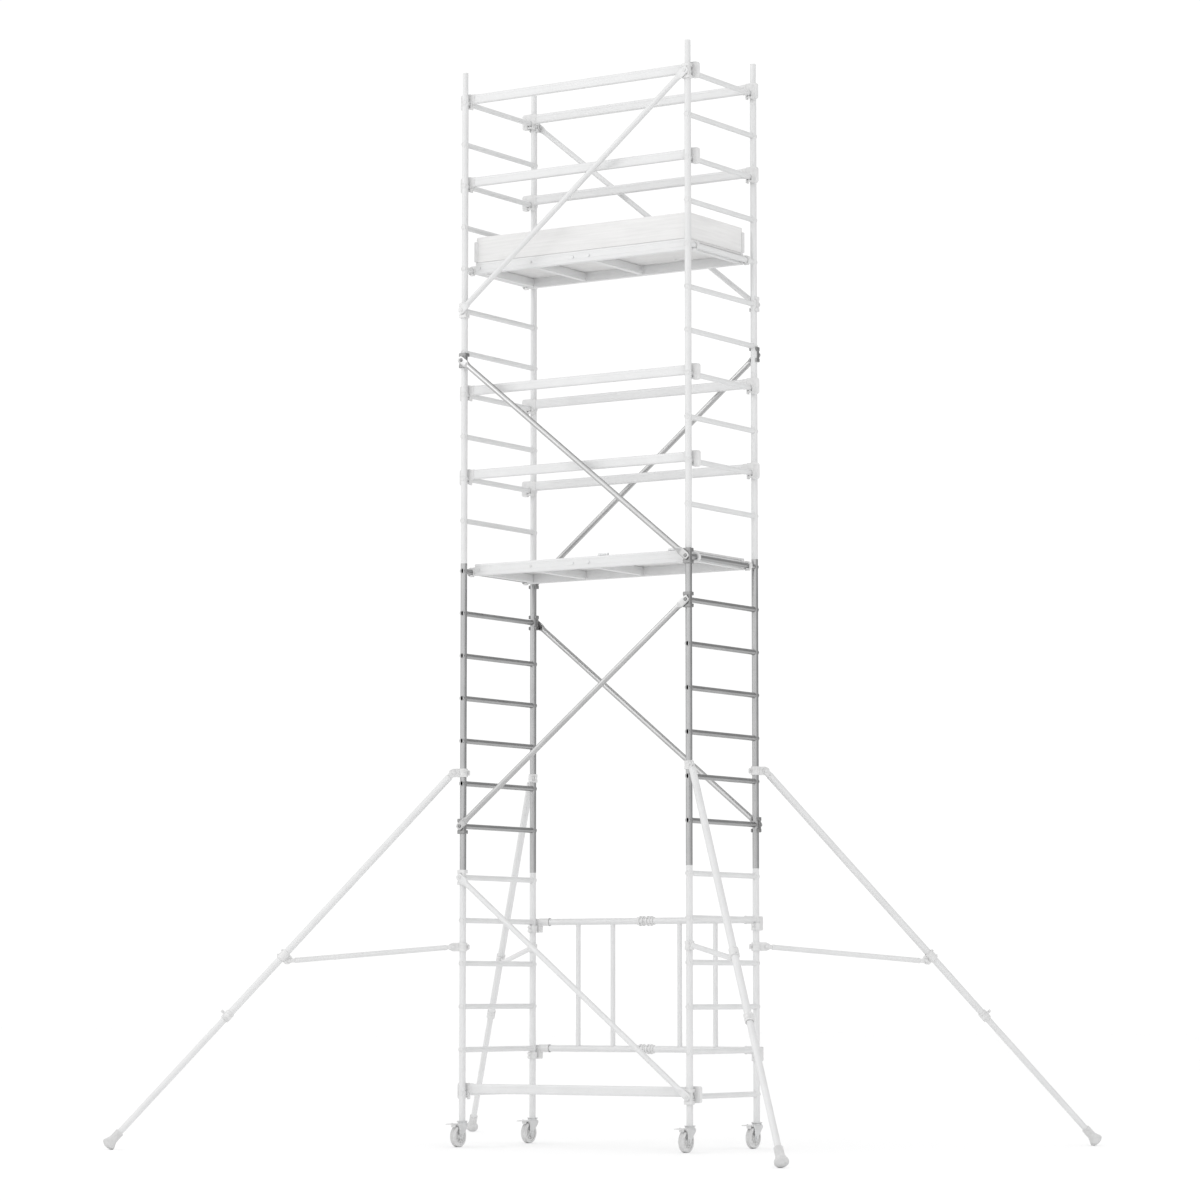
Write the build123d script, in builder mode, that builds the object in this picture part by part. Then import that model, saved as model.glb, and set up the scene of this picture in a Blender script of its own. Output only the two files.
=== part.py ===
from build123d import *

import os
from math import asin, atan2, cos, sin, sqrt

# Mobile tower scaffold: a folding-base aluminium tower on four castors, with two
# trapdoor platforms, guard rails, toeboards and four telescopic stabilisers.
# Millimetres. The origin is on the floor, in the middle of the four posts.
# +X runs along the bay to the right-hand frames, +Y runs to the rear, +Z is up.

# ---- driving dimensions ------------------------------------------------------
BAY_LENGTH = 1555.0             # post centre to post centre along X
FRAME_WIDTH = 730.0             # post centre to post centre along Y
RUNG_PITCH = 250.0
FIRST_RUNG = 310.0              # lowest rung of the base frames
POST_FOOT = 150.0               # lower end of the base posts, on the castors
RUNG_TO_TOP = 45.0              # last rung of a frame to the top of its posts
JOINT_TO_RUNG = 253.0           # lower end of a frame to its first rung
TOP_JOINT_TO_RUNG = 205.0       # the same on the short top frames

POST_R = 19.0
POST_BORE_R = 17.0
RUNG_R = 15.5
RUNG_BORE_R = 13.9
RUNG_HOLE_R = 15.6
RUNG_OVERHANG = 19.4            # rung ends stand this far beyond the post centres
SPIGOT_R = 16.9
SPIGOT_BORE_R = 14.9
SPIGOT_INSET = 90.0
SPIGOT_STAND = 137.0
SPIGOT_NECK_R = 16.7            # the pressed-in root of a spigot
SPIGOT_NECK_STAND = 2.0         # the root shows this much above the post

HALF_X = BAY_LENGTH / 2
HALF_Y = FRAME_WIDTH / 2
SIDES = {"left": -1, "right": 1}
CORNERS = {"front_left": (-1, -1), "front_right": (1, -1),
           "rear_left": (-1, 1), "rear_right": (1, 1)}


def rung_levels(first, count):
    """Heights of the rungs of one frame."""
    return [first + RUNG_PITCH * step for step in range(count)]


BASE_RUNGS = rung_levels(FIRST_RUNG, 6)
BASE_TOP = BASE_RUNGS[-1] + RUNG_TO_TOP
MODULE_RUNGS = rung_levels(BASE_TOP + JOINT_TO_RUNG, 7)
MODULE_TOP = MODULE_RUNGS[-1] + RUNG_TO_TOP
MIDDLE_RUNGS = rung_levels(MODULE_TOP + JOINT_TO_RUNG, 7)
MIDDLE_TOP = MIDDLE_RUNGS[-1] + RUNG_TO_TOP
TOP_RUNGS = rung_levels(MIDDLE_TOP + TOP_JOINT_TO_RUNG, 4)
TOWER_TOP = TOP_RUNGS[-1] + RUNG_TO_TOP

os.makedirs("parts", exist_ok=True)


def save(name, solid):
    """Label a finished piece and write its STEP file."""
    solid.label = name
    export_step(solid, "parts/" + name + ".step")


# ---- shapes shared by several pieces; each adds to the part being built --------
def bar(start, end, radius, bore=0.0, mode=Mode.ADD):
    """Round bar, or a tube when a bore is given, between two points."""
    start = Vector(start)
    span = Vector(end) - start
    with BuildSketch(Plane(origin=start, z_dir=span)) as section:
        Circle(radius)
        if bore:
            Circle(bore, mode=Mode.SUBTRACT)
    extrude(section.sketch, amount=span.length, mode=mode)


def block(low, high, mode=Mode.ADD):
    """Rectangular block between its lowest and highest corners."""
    low = Vector(low)
    high = Vector(high)
    size = high - low
    with Locations((low + high) / 2):
        Box(size.X, size.Y, size.Z, mode=mode)


# ---- ladder frames -------------------------------------------------------------
def ladder_frame(name, x, bottom, top, rungs):
    """Two drilled posts, the rungs that pass through them, and two spigots."""
    post_places = [(x, -HALF_Y), (x, HALF_Y)]
    rung_places = [(x, z) for z in rungs]
    drill_reach = HALF_Y + 2 * POST_R
    with BuildPart() as frame:
        with BuildSketch(Plane.XY.offset(bottom)):
            with Locations(*post_places):
                Circle(POST_R)
                Circle(POST_BORE_R, mode=Mode.SUBTRACT)
        extrude(amount=top - bottom)
        neck = top + SPIGOT_NECK_STAND
        root_span = (top - SPIGOT_INSET, neck, SPIGOT_NECK_R)
        for low, high, radius in (root_span, (neck, top + SPIGOT_STAND, SPIGOT_R)):
            with BuildSketch(Plane.XY.offset(low)):
                with Locations(*post_places):
                    Circle(radius)
                    Circle(SPIGOT_BORE_R, mode=Mode.SUBTRACT)
            extrude(amount=high - low)
        with BuildSketch(Plane.XZ.offset(-drill_reach)):
            with Locations(*rung_places):
                Circle(RUNG_HOLE_R)
        extrude(amount=2 * drill_reach, mode=Mode.SUBTRACT)
        with BuildSketch(Plane.XZ.offset(-HALF_Y - RUNG_OVERHANG)):
            with Locations(*rung_places):
                Circle(RUNG_R)
                Circle(RUNG_BORE_R, mode=Mode.SUBTRACT)
        extrude(amount=2 * (HALF_Y + RUNG_OVERHANG))
    save(name, frame.part)


for side, sign in SIDES.items():
    ladder_frame("base_frame_" + side, sign * HALF_X, POST_FOOT, BASE_TOP, BASE_RUNGS)
    ladder_frame("module_frame_" + side, sign * HALF_X, BASE_TOP, MODULE_TOP, MODULE_RUNGS)
    ladder_frame("middle_frame_" + side, sign * HALF_X, MODULE_TOP, MIDDLE_TOP, MIDDLE_RUNGS)
    ladder_frame("top_frame_" + side, sign * HALF_X, MIDDLE_TOP, TOWER_TOP, TOP_RUNGS)


# ---- diagonal braces and their claws -------------------------------------------
BRACE_R = 16.0
BRACE_BORE_R = 14.4
BRACE_OFFSET = 34.0             # brace centre line outside the post centre
BRACE_TAB_HALF_THICK = 4.5
BRACE_TAB_HALF_WIDTH = 22.0
BRACE_TAB_PAST = 20.0           # flattened end beyond its pin
BRACE_TAB_LENGTH = 36.0
BRACE_TAPER_END = 68.0
BRACE_PIN_R = 6.0
BRACE_PIN_HOLE_R = 6.2
CLAW_WIDTH = 52.0
CLAW_DEPTH = 42.0
CLAW_HEIGHT = 88.0
CLAW_SHIFT = 7.0                # claw centre outside the post centre
CLAW_BORE_R = 19.2
CLAW_MOUTH = 35.0
CLAW_CORNER_R = 9.0
CLAW_PIN_HEAD_R = 10.0
CLAW_PIN_HEAD = 5.0
CLAW_POCKET_R = 15.9            # recess in a claw for the rung end it covers
CLAW_POCKET = 20.0
CLAW_PIN_SINK = 5.0             # brace pin set into the claw
PIN_HEAD_GAP = 1.0              # between the brace and the pin's head
UNDER_RUNG = 48.0               # upper claw of the tall braces sits under a rung
ALL_RUNGS = BASE_RUNGS + MODULE_RUNGS + MIDDLE_RUNGS + TOP_RUNGS

BASE_BRACE = [(-1, -1, BASE_RUNGS[5], 1, BASE_RUNGS[0])]
MODULE_BRACES = [
    (-1, -1, MODULE_RUNGS[0], 1, MODULE_RUNGS[5]),
    (1, 1, MODULE_RUNGS[0], -1, MODULE_RUNGS[5]),
    (1, -1, MODULE_RUNGS[6], -1, MIDDLE_RUNGS[4] - UNDER_RUNG),
    (-1, 1, MODULE_RUNGS[6], 1, MIDDLE_RUNGS[4] - UNDER_RUNG),
]
TOP_BRACES = [
    (-1, -1, MIDDLE_RUNGS[5], 1, TOP_RUNGS[3]),
    (1, 1, MIDDLE_RUNGS[5], -1, TOP_RUNGS[3]),
]


def brace(start, end):
    """Round tube with both ends pressed flat and drilled for the claw pins."""
    start = Vector(start)
    end = Vector(end)
    span = end - start
    across = Vector(0, 1, 0)
    inset = span.normalized() * BRACE_TAPER_END
    bar(start + inset, end - inset, BRACE_R, BRACE_BORE_R)
    for tip, inward in ((start, span), (end, -span)):
        line = Plane(origin=tip, x_dir=across, z_dir=inward)
        with BuildSketch(line.offset(-BRACE_TAB_PAST)) as tab:
            Ellipse(BRACE_TAB_HALF_THICK, BRACE_TAB_HALF_WIDTH)
        extrude(tab.sketch, amount=BRACE_TAB_PAST + BRACE_TAB_LENGTH)
        with BuildSketch(line.offset(BRACE_TAB_LENGTH)) as flat_end:
            Ellipse(BRACE_TAB_HALF_THICK, BRACE_TAB_HALF_WIDTH)
        with BuildSketch(line.offset(BRACE_TAPER_END)) as round_end:
            Circle(BRACE_R)
        loft(sections=[flat_end.sketch.face(), round_end.sketch.face()])
        reach = across * BRACE_TAB_HALF_WIDTH
        bar(tip - reach, tip + reach, BRACE_PIN_HOLE_R, mode=Mode.SUBTRACT)


def brace_claw(x, rear, z):
    """C-shaped claw that snaps round a post from outside, with its brace pin."""
    rung = min(ALL_RUNGS, key=lambda level: abs(level - z))
    y = rear * HALF_Y
    with BuildSketch(Plane.XY.offset(z - CLAW_HEIGHT / 2)) as section:
        with Locations((x, y + rear * CLAW_SHIFT)):
            RectangleRounded(CLAW_WIDTH, CLAW_DEPTH, CLAW_CORNER_R)
        with Locations((x, y)):
            Circle(CLAW_BORE_R, mode=Mode.SUBTRACT)
        with Locations((x, y - rear * CLAW_DEPTH / 2)):
            Rectangle(CLAW_MOUTH, CLAW_DEPTH, mode=Mode.SUBTRACT)
    extrude(section.sketch, amount=CLAW_HEIGHT)
    bar((x, y, rung), (x, y + rear * CLAW_POCKET, rung), CLAW_POCKET_R, mode=Mode.SUBTRACT)
    root = y + rear * (CLAW_SHIFT + CLAW_DEPTH / 2 - CLAW_PIN_SINK)
    shoulder = y + rear * (BRACE_OFFSET + BRACE_TAB_HALF_THICK + PIN_HEAD_GAP)
    bar((x, root, z), (x, shoulder, z), BRACE_PIN_R)
    bar((x, shoulder, z), (x, shoulder + rear * CLAW_PIN_HEAD, z), CLAW_PIN_HEAD_R)


def brace_set(name, claw_name, places):
    """One node of braces and one node of their claws."""
    with BuildPart() as tubes:
        for sx, rear, z, ex, top in places:
            y = rear * (HALF_Y + BRACE_OFFSET)
            brace((sx * HALF_X, y, z), (ex * HALF_X, y, top))
    save(name, tubes.part)
    with BuildPart() as claws:
        for sx, rear, z, ex, top in places:
            brace_claw(sx * HALF_X, rear, z)
            brace_claw(ex * HALF_X, rear, top)
    save(claw_name, claws.part)


brace_set("module_braces", "module_brace_claws", MODULE_BRACES)
brace_set("tower_braces", "tower_brace_claws", BASE_BRACE + TOP_BRACES)


# ---- guard rails, base beam and their end claws ---------------------------------
RAIL_THICK = 25.0
RAIL_TALL = 56.0
RAIL_WALL = 2.0
RAIL_CORNER_R = 8.0
RAIL_ABOVE_RUNG = 25.0          # rail centre above the rung centre
RAIL_Y = HALF_Y - 38.0          # rail centre inside the post centres
RAIL_END = HALF_X - 23.0        # where the rail enters its end claw
END_CLAW_THICK = 28.0
END_CLAW_BELOW = 36.0
END_CLAW_ABOVE = 58.0
END_CLAW_PAST = 52.0            # end claw beyond the rung centre
END_CLAW_CORNER_R = 8.0
GRIP_R = 15.8                   # hooks and claws that sit on a rung
LATCH_HALF = 15.4
LATCH_TOP = -18.0
LATCH_BOTTOM = -29.0
CLAW_LATCH_HALF = 8.0           # half thickness of the latch in an end claw
HOOK_LATCH_HALF = 5.0           # the same in a platform hook


def rail(rear, rung):
    """Hollow rail profile between two end claws."""
    with BuildSketch(Plane.YZ.offset(-RAIL_END)) as section:
        with Locations((rear * RAIL_Y, rung + RAIL_ABOVE_RUNG)):
            RectangleRounded(RAIL_THICK, RAIL_TALL, RAIL_CORNER_R)
            RectangleRounded(RAIL_THICK - 2 * RAIL_WALL, RAIL_TALL - 2 * RAIL_WALL,
                             RAIL_CORNER_R - RAIL_WALL, mode=Mode.SUBTRACT)
    extrude(section.sketch, amount=2 * RAIL_END)


def latch(rung_point, half_thick):
    """Latch bar that closes a hook or claw under its rung."""
    x, y, rung = rung_point
    low = (x - LATCH_HALF, y - half_thick, rung + LATCH_BOTTOM)
    high = (x + LATCH_HALF, y + half_thick, rung + LATCH_TOP)
    block(low, high)


def end_claw(side, rear, rung):
    """Moulded claw that drops over a rung, and the latch that closes under it."""
    x = side * HALF_X
    low = -END_CLAW_BELOW
    middle = (END_CLAW_PAST - (HALF_X - RAIL_END)) / 2
    width = END_CLAW_PAST + HALF_X - RAIL_END
    height = END_CLAW_ABOVE + END_CLAW_BELOW
    face = Plane.XZ.offset(-rear * RAIL_Y - END_CLAW_THICK / 2)
    with BuildSketch(face) as section:
        with Locations((x + side * middle, rung + low + height / 2)):
            RectangleRounded(width, height, END_CLAW_CORNER_R)
        with Locations((x, rung)):
            Circle(GRIP_R, mode=Mode.SUBTRACT)
        with Locations((x, rung + low / 2)):
            Rectangle(2 * GRIP_R, END_CLAW_BELOW, mode=Mode.SUBTRACT)
    extrude(section.sketch, amount=END_CLAW_THICK)
    latch((x, rear * RAIL_Y, rung), CLAW_LATCH_HALF)


def rail_set(name, places):
    """One node of rails."""
    with BuildPart() as rails:
        for rear, rung in places:
            rail(rear, rung)
    save(name, rails.part)


BEAM_PLACES = [(-1, BASE_RUNGS[0])]
LOWER_RAIL_PLACES = [(rear, MIDDLE_RUNGS[n]) for rear in (-1, 1) for n in (1, 3)]
UPPER_RAIL_PLACES = [(rear, TOP_RUNGS[n]) for rear in (-1, 1) for n in (1, 3)]
rail_set("base_beam", BEAM_PLACES)
rail_set("guard_rails_lower", LOWER_RAIL_PLACES)
rail_set("guard_rails_upper", UPPER_RAIL_PLACES)

with BuildPart() as rail_claws:
    for rear, rung in BEAM_PLACES + LOWER_RAIL_PLACES + UPPER_RAIL_PLACES:
        for side in (-1, 1):
            end_claw(side, rear, rung)
save("rail_claws", rail_claws.part)


# ---- platforms -------------------------------------------------------------------
PLATFORM_WIDTH = 600.0
PLATFORM_END = HALF_X - 32.0    # side rail ends
SIDE_RAIL_WIDE = 30.0
SIDE_RAIL_BELOW = 23.0          # underside below the rung centre
SIDE_RAIL_ABOVE = 45.0          # deck surface above the rung centre
SIDE_RAIL_WALL = 3.0
SIDE_RAIL_CORNER_R = 4.0
SIDE_RAIL_INNER_R = 1.5
DECK_THICK = 12.0
MEMBER_WIDE = 30.0
MEMBER_TALL = 50.0
MEMBER_GAP = 0.5                # under the deck boards
MEMBER_WALL = 2.0
MEMBER_SLACK = 0.1              # between a member's end and the side rail
END_MEMBER = PLATFORM_END - 20.0
SECOND_MEMBER = -350.0
DECK_SLACK = 0.3                # between the boards and the side rails
DECK_END_INSET = 4.0
HATCH_START = 60.0
HATCH_END = 715.0
HATCH_FRONT = 262.0             # hatch edge nearest the hinge line
HATCH_REAR = 266.0
HATCH_GAP = 3.0
HATCH_MEMBER = HATCH_START - 5.0
HAND_HOLE = (110.0, 36.0)
HAND_HOLE_INSET = 70.0          # from the free edge of the hatch
HINGE_PLACES = (149.0, 626.0)
HINGE_Y = -285.0
HINGE_R = 7.0
HINGE_PIN_R = 3.5
HINGE_BORE_R = 3.56
FIXED_BORE_R = 3.55             # pin hole in the fixed knuckles
HINGE_KNUCKLE = 34.0
HINGE_LIFT = 0.35               # strap underside above the deck surface
KNUCKLE_GAP = 0.5
HINGE_PIN_PAST = 2.0            # pin end beyond the fixed knuckles
LEAF_DEPTH = 7.5
LEAF_LIFT = 0.05
STRAP_THICK = 3.0
STRAP_LENGTH = 85.0
HOOK_R = 27.0
HOOK_THICK = 24.0
HOOK_GAP = 0.2                  # between the hook's arm and the side rail
HOOK_HEEL = 12.0
HOOK_HEEL_HALF = 20.0
RAIL_MID_Y = PLATFORM_WIDTH / 2 - SIDE_RAIL_WIDE / 2
RAIL_INNER_Y = PLATFORM_WIDTH / 2 - SIDE_RAIL_WIDE


def rung_hook(side, rear, rung):
    """Cast hook on the end of a side rail, over a rung, with its wind latch."""
    x = side * HALF_X
    arm = HALF_X - PLATFORM_END - HOOK_GAP
    with BuildSketch(Plane.XZ.offset(-rear * RAIL_MID_Y - HOOK_THICK / 2)) as section:
        with Locations((x, rung)):
            Circle(HOOK_R)
        with Locations((x - side * arm / 2, rung + HOOK_R / 2)):
            Rectangle(arm, HOOK_R)
        with Locations((x - side * (arm - HOOK_HEEL / 2), rung)):
            Rectangle(HOOK_HEEL, 2 * HOOK_HEEL_HALF)
        with Locations((x, rung)):
            Circle(GRIP_R, mode=Mode.SUBTRACT)
        with Locations((x, rung - HOOK_R / 2)):
            Rectangle(2 * GRIP_R, HOOK_R, mode=Mode.SUBTRACT)
    extrude(section.sketch, amount=HOOK_THICK)
    latch((x, rear * RAIL_MID_Y, rung), HOOK_LATCH_HALF)


def hinge_line(deck_top):
    """Height of the hatch hinge pins."""
    return deck_top + HINGE_LIFT + HINGE_R


def platform_frame(name, rung):
    """Side rails, cross members, rung hooks and the fixed hinge halves."""
    deck_top = rung + SIDE_RAIL_ABOVE
    rail_mid = rung + (SIDE_RAIL_ABOVE - SIDE_RAIL_BELOW) / 2
    rail_tall = SIDE_RAIL_ABOVE + SIDE_RAIL_BELOW
    member_mid = deck_top - DECK_THICK - MEMBER_GAP - MEMBER_TALL / 2
    member_reach = RAIL_INNER_Y - MEMBER_SLACK
    member_places = [(x, member_mid) for x in (-END_MEMBER, SECOND_MEMBER, HATCH_MEMBER, END_MEMBER)]
    with BuildPart() as frame:
        with BuildSketch(Plane.YZ.offset(-PLATFORM_END)):
            with Locations((-RAIL_MID_Y, rail_mid), (RAIL_MID_Y, rail_mid)):
                RectangleRounded(SIDE_RAIL_WIDE, rail_tall, SIDE_RAIL_CORNER_R)
                RectangleRounded(SIDE_RAIL_WIDE - 2 * SIDE_RAIL_WALL, rail_tall - 2 * SIDE_RAIL_WALL,
                                 SIDE_RAIL_INNER_R, mode=Mode.SUBTRACT)
        extrude(amount=2 * PLATFORM_END)
        with BuildSketch(Plane.XZ.offset(-member_reach)):
            with Locations(*member_places):
                Rectangle(MEMBER_WIDE, MEMBER_TALL)
                Rectangle(MEMBER_WIDE - 2 * MEMBER_WALL, MEMBER_TALL - 2 * MEMBER_WALL,
                          mode=Mode.SUBTRACT)
        extrude(amount=2 * member_reach)
        for side, rear in CORNERS.values():
            rung_hook(side, rear, rung)
        pin_z = hinge_line(deck_top)
        leaf_low = deck_top + LEAF_LIFT
        for x in HINGE_PLACES:
            for side in (-1, 1):
                near = x + side * (HINGE_KNUCKLE / 2 + KNUCKLE_GAP)
                far = x + side * HINGE_KNUCKLE
                bar((near, HINGE_Y, pin_z), (far, HINGE_Y, pin_z), HINGE_R, FIXED_BORE_R)
                low = (min(near, far), HINGE_Y - LEAF_DEPTH, leaf_low)
                high = (max(near, far), HINGE_Y, leaf_low + STRAP_THICK)
                block(low, high)
            reach = HINGE_KNUCKLE + HINGE_PIN_PAST
            bar((x - reach, HINGE_Y, pin_z), (x + reach, HINGE_Y, pin_z), HINGE_PIN_R)
    save(name, frame.part)


def platform_deck(name, rung):
    """Fixed plywood boards on both sides of the hatch."""
    top = rung + SIDE_RAIL_ABOVE
    low = top - DECK_THICK
    reach = RAIL_INNER_Y - DECK_SLACK
    edge = PLATFORM_END - DECK_END_INSET
    with BuildPart() as deck:
        block((-edge, -reach, low), (HATCH_START - HATCH_GAP, reach, top))
        block((HATCH_END + HATCH_GAP, -reach, low), (edge, reach, top))
    save(name, deck.part)


def platform_hatch(name, rung):
    """Plywood trapdoor with a hand hole, and its two hinge straps."""
    top = rung + SIDE_RAIL_ABOVE
    pin_z = hinge_line(top)
    strap_low = top + HINGE_LIFT
    middle = ((HATCH_START + HATCH_END) / 2, HATCH_REAR - HAND_HOLE_INSET)
    with BuildPart() as hatch:
        block((HATCH_START, -HATCH_FRONT, top - DECK_THICK), (HATCH_END, HATCH_REAR, top))
        with BuildSketch(Plane.XY.offset(top - DECK_THICK)) as hand_hole:
            with Locations(middle):
                SlotOverall(*HAND_HOLE)
        extrude(hand_hole.sketch, amount=DECK_THICK, mode=Mode.SUBTRACT)
        for x in HINGE_PLACES:
            half = HINGE_KNUCKLE / 2
            bar((x - half, HINGE_Y, pin_z), (x + half, HINGE_Y, pin_z), HINGE_R)
            strap_high = strap_low + STRAP_THICK
            block((x - half, HINGE_Y, strap_low), (x + half, HINGE_Y + STRAP_LENGTH, strap_high))
            bar((x - HINGE_KNUCKLE, HINGE_Y, pin_z), (x + HINGE_KNUCKLE, HINGE_Y, pin_z),
                HINGE_BORE_R, mode=Mode.SUBTRACT)
    save(name, hatch.part)


PLATFORMS = {"lower": MODULE_RUNGS[6], "upper": MIDDLE_RUNGS[6]}
for level, rung in PLATFORMS.items():
    platform_frame("platform_" + level + "_frame", rung)
    platform_deck("platform_" + level + "_deck", rung)
    platform_hatch("platform_" + level + "_hatch", rung)


# ---- toeboards on the upper platform ----------------------------------------------
TOEBOARD_TALL = 150.0
TOEBOARD_THICK = 10.0
TOEBOARD_FACE = 303.0           # outer face of the long boards
TOEBOARD_REACH = 731.0          # half length of the long boards
END_BOARD_FACE = 745.0
END_BOARD_REACH = 290.0
CLIP_SIZE = 26.0
CLIP_CORNER_R = 3.0
CLIP_INSET = 7.0                # clip centre inside the boards' outer faces
CLIP_LOW = 4.0
CLIP_TALL = 120.0
CLIP_SLACK = 0.2
BOARD_LOW = PLATFORMS["upper"] + SIDE_RAIL_ABOVE

with BuildPart() as toeboards:
    for sign in (-1, 1):
        long_y = sorted((sign * TOEBOARD_FACE, sign * (TOEBOARD_FACE - TOEBOARD_THICK)))
        end_x = sorted((sign * END_BOARD_FACE, sign * (END_BOARD_FACE - TOEBOARD_THICK)))
        high = BOARD_LOW + TOEBOARD_TALL
        block((-TOEBOARD_REACH, long_y[0], BOARD_LOW), (TOEBOARD_REACH, long_y[1], high))
        block((end_x[0], -END_BOARD_REACH, BOARD_LOW), (end_x[1], END_BOARD_REACH, high))
save("toeboards", toeboards.part)

with BuildPart() as toeboard_clips:
    slot = TOEBOARD_THICK + 2 * CLIP_SLACK
    long_mid = TOEBOARD_FACE - TOEBOARD_THICK / 2
    end_mid = END_BOARD_FACE - TOEBOARD_THICK / 2
    for side, rear in CORNERS.values():
        with BuildSketch(Plane.XY.offset(BOARD_LOW + CLIP_LOW)) as section:
            with Locations((side * (END_BOARD_FACE - CLIP_INSET), rear * (TOEBOARD_FACE - CLIP_INSET))):
                RectangleRounded(CLIP_SIZE, CLIP_SIZE, CLIP_CORNER_R)
            with Locations((side * (TOEBOARD_REACH + CLIP_SLACK - CLIP_SIZE / 2), rear * long_mid)):
                Rectangle(CLIP_SIZE, slot, mode=Mode.SUBTRACT)
            with Locations((side * end_mid, rear * (END_BOARD_REACH + CLIP_SLACK - CLIP_SIZE / 2))):
                Rectangle(slot, CLIP_SIZE, mode=Mode.SUBTRACT)
        extrude(section.sketch, amount=CLIP_TALL)
save("toeboard_clips", toeboard_clips.part)


# ---- folding gate across the rear of the base ---------------------------------------
GATE_Y = HALF_Y + 40.0
GATE_RAIL_R = 19.0
GATE_RAIL_BORE_R = 17.0
GATE_BAR_R = 14.0
GATE_BARS = (300.0, 545.0)      # bar centres from the post centre
GATE_RUNGS = (BASE_RUNGS[1], BASE_RUNGS[4])
GATE_RAIL_START = 30.0          # rail end from the post centre
GATE_MIDDLE_GAP = 2.0           # half the gap between the two wings
SLEEVE_R = 22.5
SLEEVE_START = 22.0
SLEEVE_END = 98.0
POST_CLAMP_R = 28.0
POST_CLAMP_LOW = -62.0          # clamp ring sits under the rung
POST_CLAMP_TALL = 42.0
ARM_PAST = 12.0                 # arm beyond the post centre
ARM_INSIDE = 34.0               # arm inside the post centre
ARM_NEAR = POST_R + 1.0
ARM_FAR = 60.0
ARM_ABOVE = 20.0                # top of the arm above the rung
COUPLER_GAP = 1.0               # half the gap between the coupler's halves
COUPLER_R = 24.0
COUPLER_FLANGE_R = 29.0
COUPLER_FLANGE = 7.0
COUPLER_FLANGES = (12.0, 34.0)
COUPLER_REACH = 56.0
RUNNING_SLACK = 0.2


def gate_wing(name, side):
    """Two rails and two bars, welded into one frame."""
    with BuildPart() as wing:
        for rung in GATE_RUNGS:
            start = (side * (HALF_X - GATE_RAIL_START), GATE_Y, rung)
            bar(start, (side * GATE_MIDDLE_GAP, GATE_Y, rung), GATE_RAIL_R)
        for place in GATE_BARS:
            x = side * (HALF_X - place)
            bar((x, GATE_Y, GATE_RUNGS[0]), (x, GATE_Y, GATE_RUNGS[1]), GATE_BAR_R)
        for rung in GATE_RUNGS:
            start = (side * HALF_X, GATE_Y, rung)
            bar(start, (0, GATE_Y, rung), GATE_RAIL_BORE_R, mode=Mode.SUBTRACT)
    save(name, wing.part)


def post_clamp(side, rung):
    """Clamp ring under a rung, with the arm and sleeve that carry a gate rail."""
    x = side * HALF_X
    with BuildSketch(Plane.XY.offset(rung + POST_CLAMP_LOW)) as ring:
        with Locations((x, HALF_Y)):
            Circle(POST_CLAMP_R)
    extrude(ring.sketch, amount=POST_CLAMP_TALL)
    ends = sorted((x + side * ARM_PAST, x - side * ARM_INSIDE))
    low = (ends[0], HALF_Y + ARM_NEAR, rung + POST_CLAMP_LOW)
    block(low, (ends[1], HALF_Y + ARM_FAR, rung + ARM_ABOVE))
    near = x - side * SLEEVE_START
    far = x - side * SLEEVE_END
    bar((near, GATE_Y, rung), (far, GATE_Y, rung), SLEEVE_R)
    socket = x - side * (GATE_RAIL_START - RUNNING_SLACK)
    bar((socket, GATE_Y, rung), (far, GATE_Y, rung), GATE_RAIL_R + RUNNING_SLACK, mode=Mode.SUBTRACT)
    with BuildSketch(Plane.XY.offset(rung - 2 * POST_CLAMP_TALL)) as bore:
        with Locations((x, HALF_Y)):
            Circle(POST_R + RUNNING_SLACK)
    extrude(bore.sketch, amount=4 * POST_CLAMP_TALL, mode=Mode.SUBTRACT)


def coupler(rung):
    """Two flanged halves that join the wings in the middle of the bay."""
    for side in (-1, 1):
        inner = side * COUPLER_GAP
        bar((inner, GATE_Y, rung), (side * COUPLER_REACH, GATE_Y, rung), COUPLER_R)
        for start in COUPLER_FLANGES:
            end = start + COUPLER_FLANGE
            bar((side * start, GATE_Y, rung), (side * end, GATE_Y, rung), COUPLER_FLANGE_R)
        bar((inner, GATE_Y, rung), (side * COUPLER_REACH, GATE_Y, rung),
            GATE_RAIL_R + RUNNING_SLACK, mode=Mode.SUBTRACT)


for side, sign in SIDES.items():
    gate_wing("gate_" + side + "_wing", sign)

with BuildPart() as gate_fittings:
    for rung in GATE_RUNGS:
        coupler(rung)
        for sign in (-1, 1):
            post_clamp(sign, rung)
save("gate_fittings", gate_fittings.part)


# ---- castors ------------------------------------------------------------------------
WHEEL_R = 62.5
WHEEL_TRAIL = 40.0              # axle behind the swivel axis, towards the front
TYRE_WIDTH = 35.0
HUB_R = 46.0
HUB_WIDTH = 26.0
HUB_BOSS_R = 13.0
HUB_BOSS_WIDTH = 39.0
AXLE_R = 6.0
AXLE_BORE_R = 6.06
LEG_INNER = 20.5                # fork leg faces from the wheel's middle
LEG_OUTER = 24.5
CROWN_LOW = 128.0
CROWN_HIGH = 134.0
CROWN_FRONT = -58.0             # from the swivel axis
CROWN_REAR = 28.0
LEG_FRONT = -62.0               # the legs reach a little further, to the pedal
LEG_DROP = 14.0                 # depth of the legs' front corner below the crown
HEEL_DROP = 6.0
FOOT_HALF = 14.0
FOOT_Z = 52.0
AXLE_EYE_R = 17.0
AXLE_EYE_BORE_R = AXLE_R + 0.1
AXLE_HEAD_R = 10.0
AXLE_HEAD = 6.0
AXLE_HEAD_GAP = 0.05
HUB_RIM = 7.0
HUB_STEP = 4.0
HUB_DISH = 8.0
SHOULDER_R = 8.0
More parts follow.
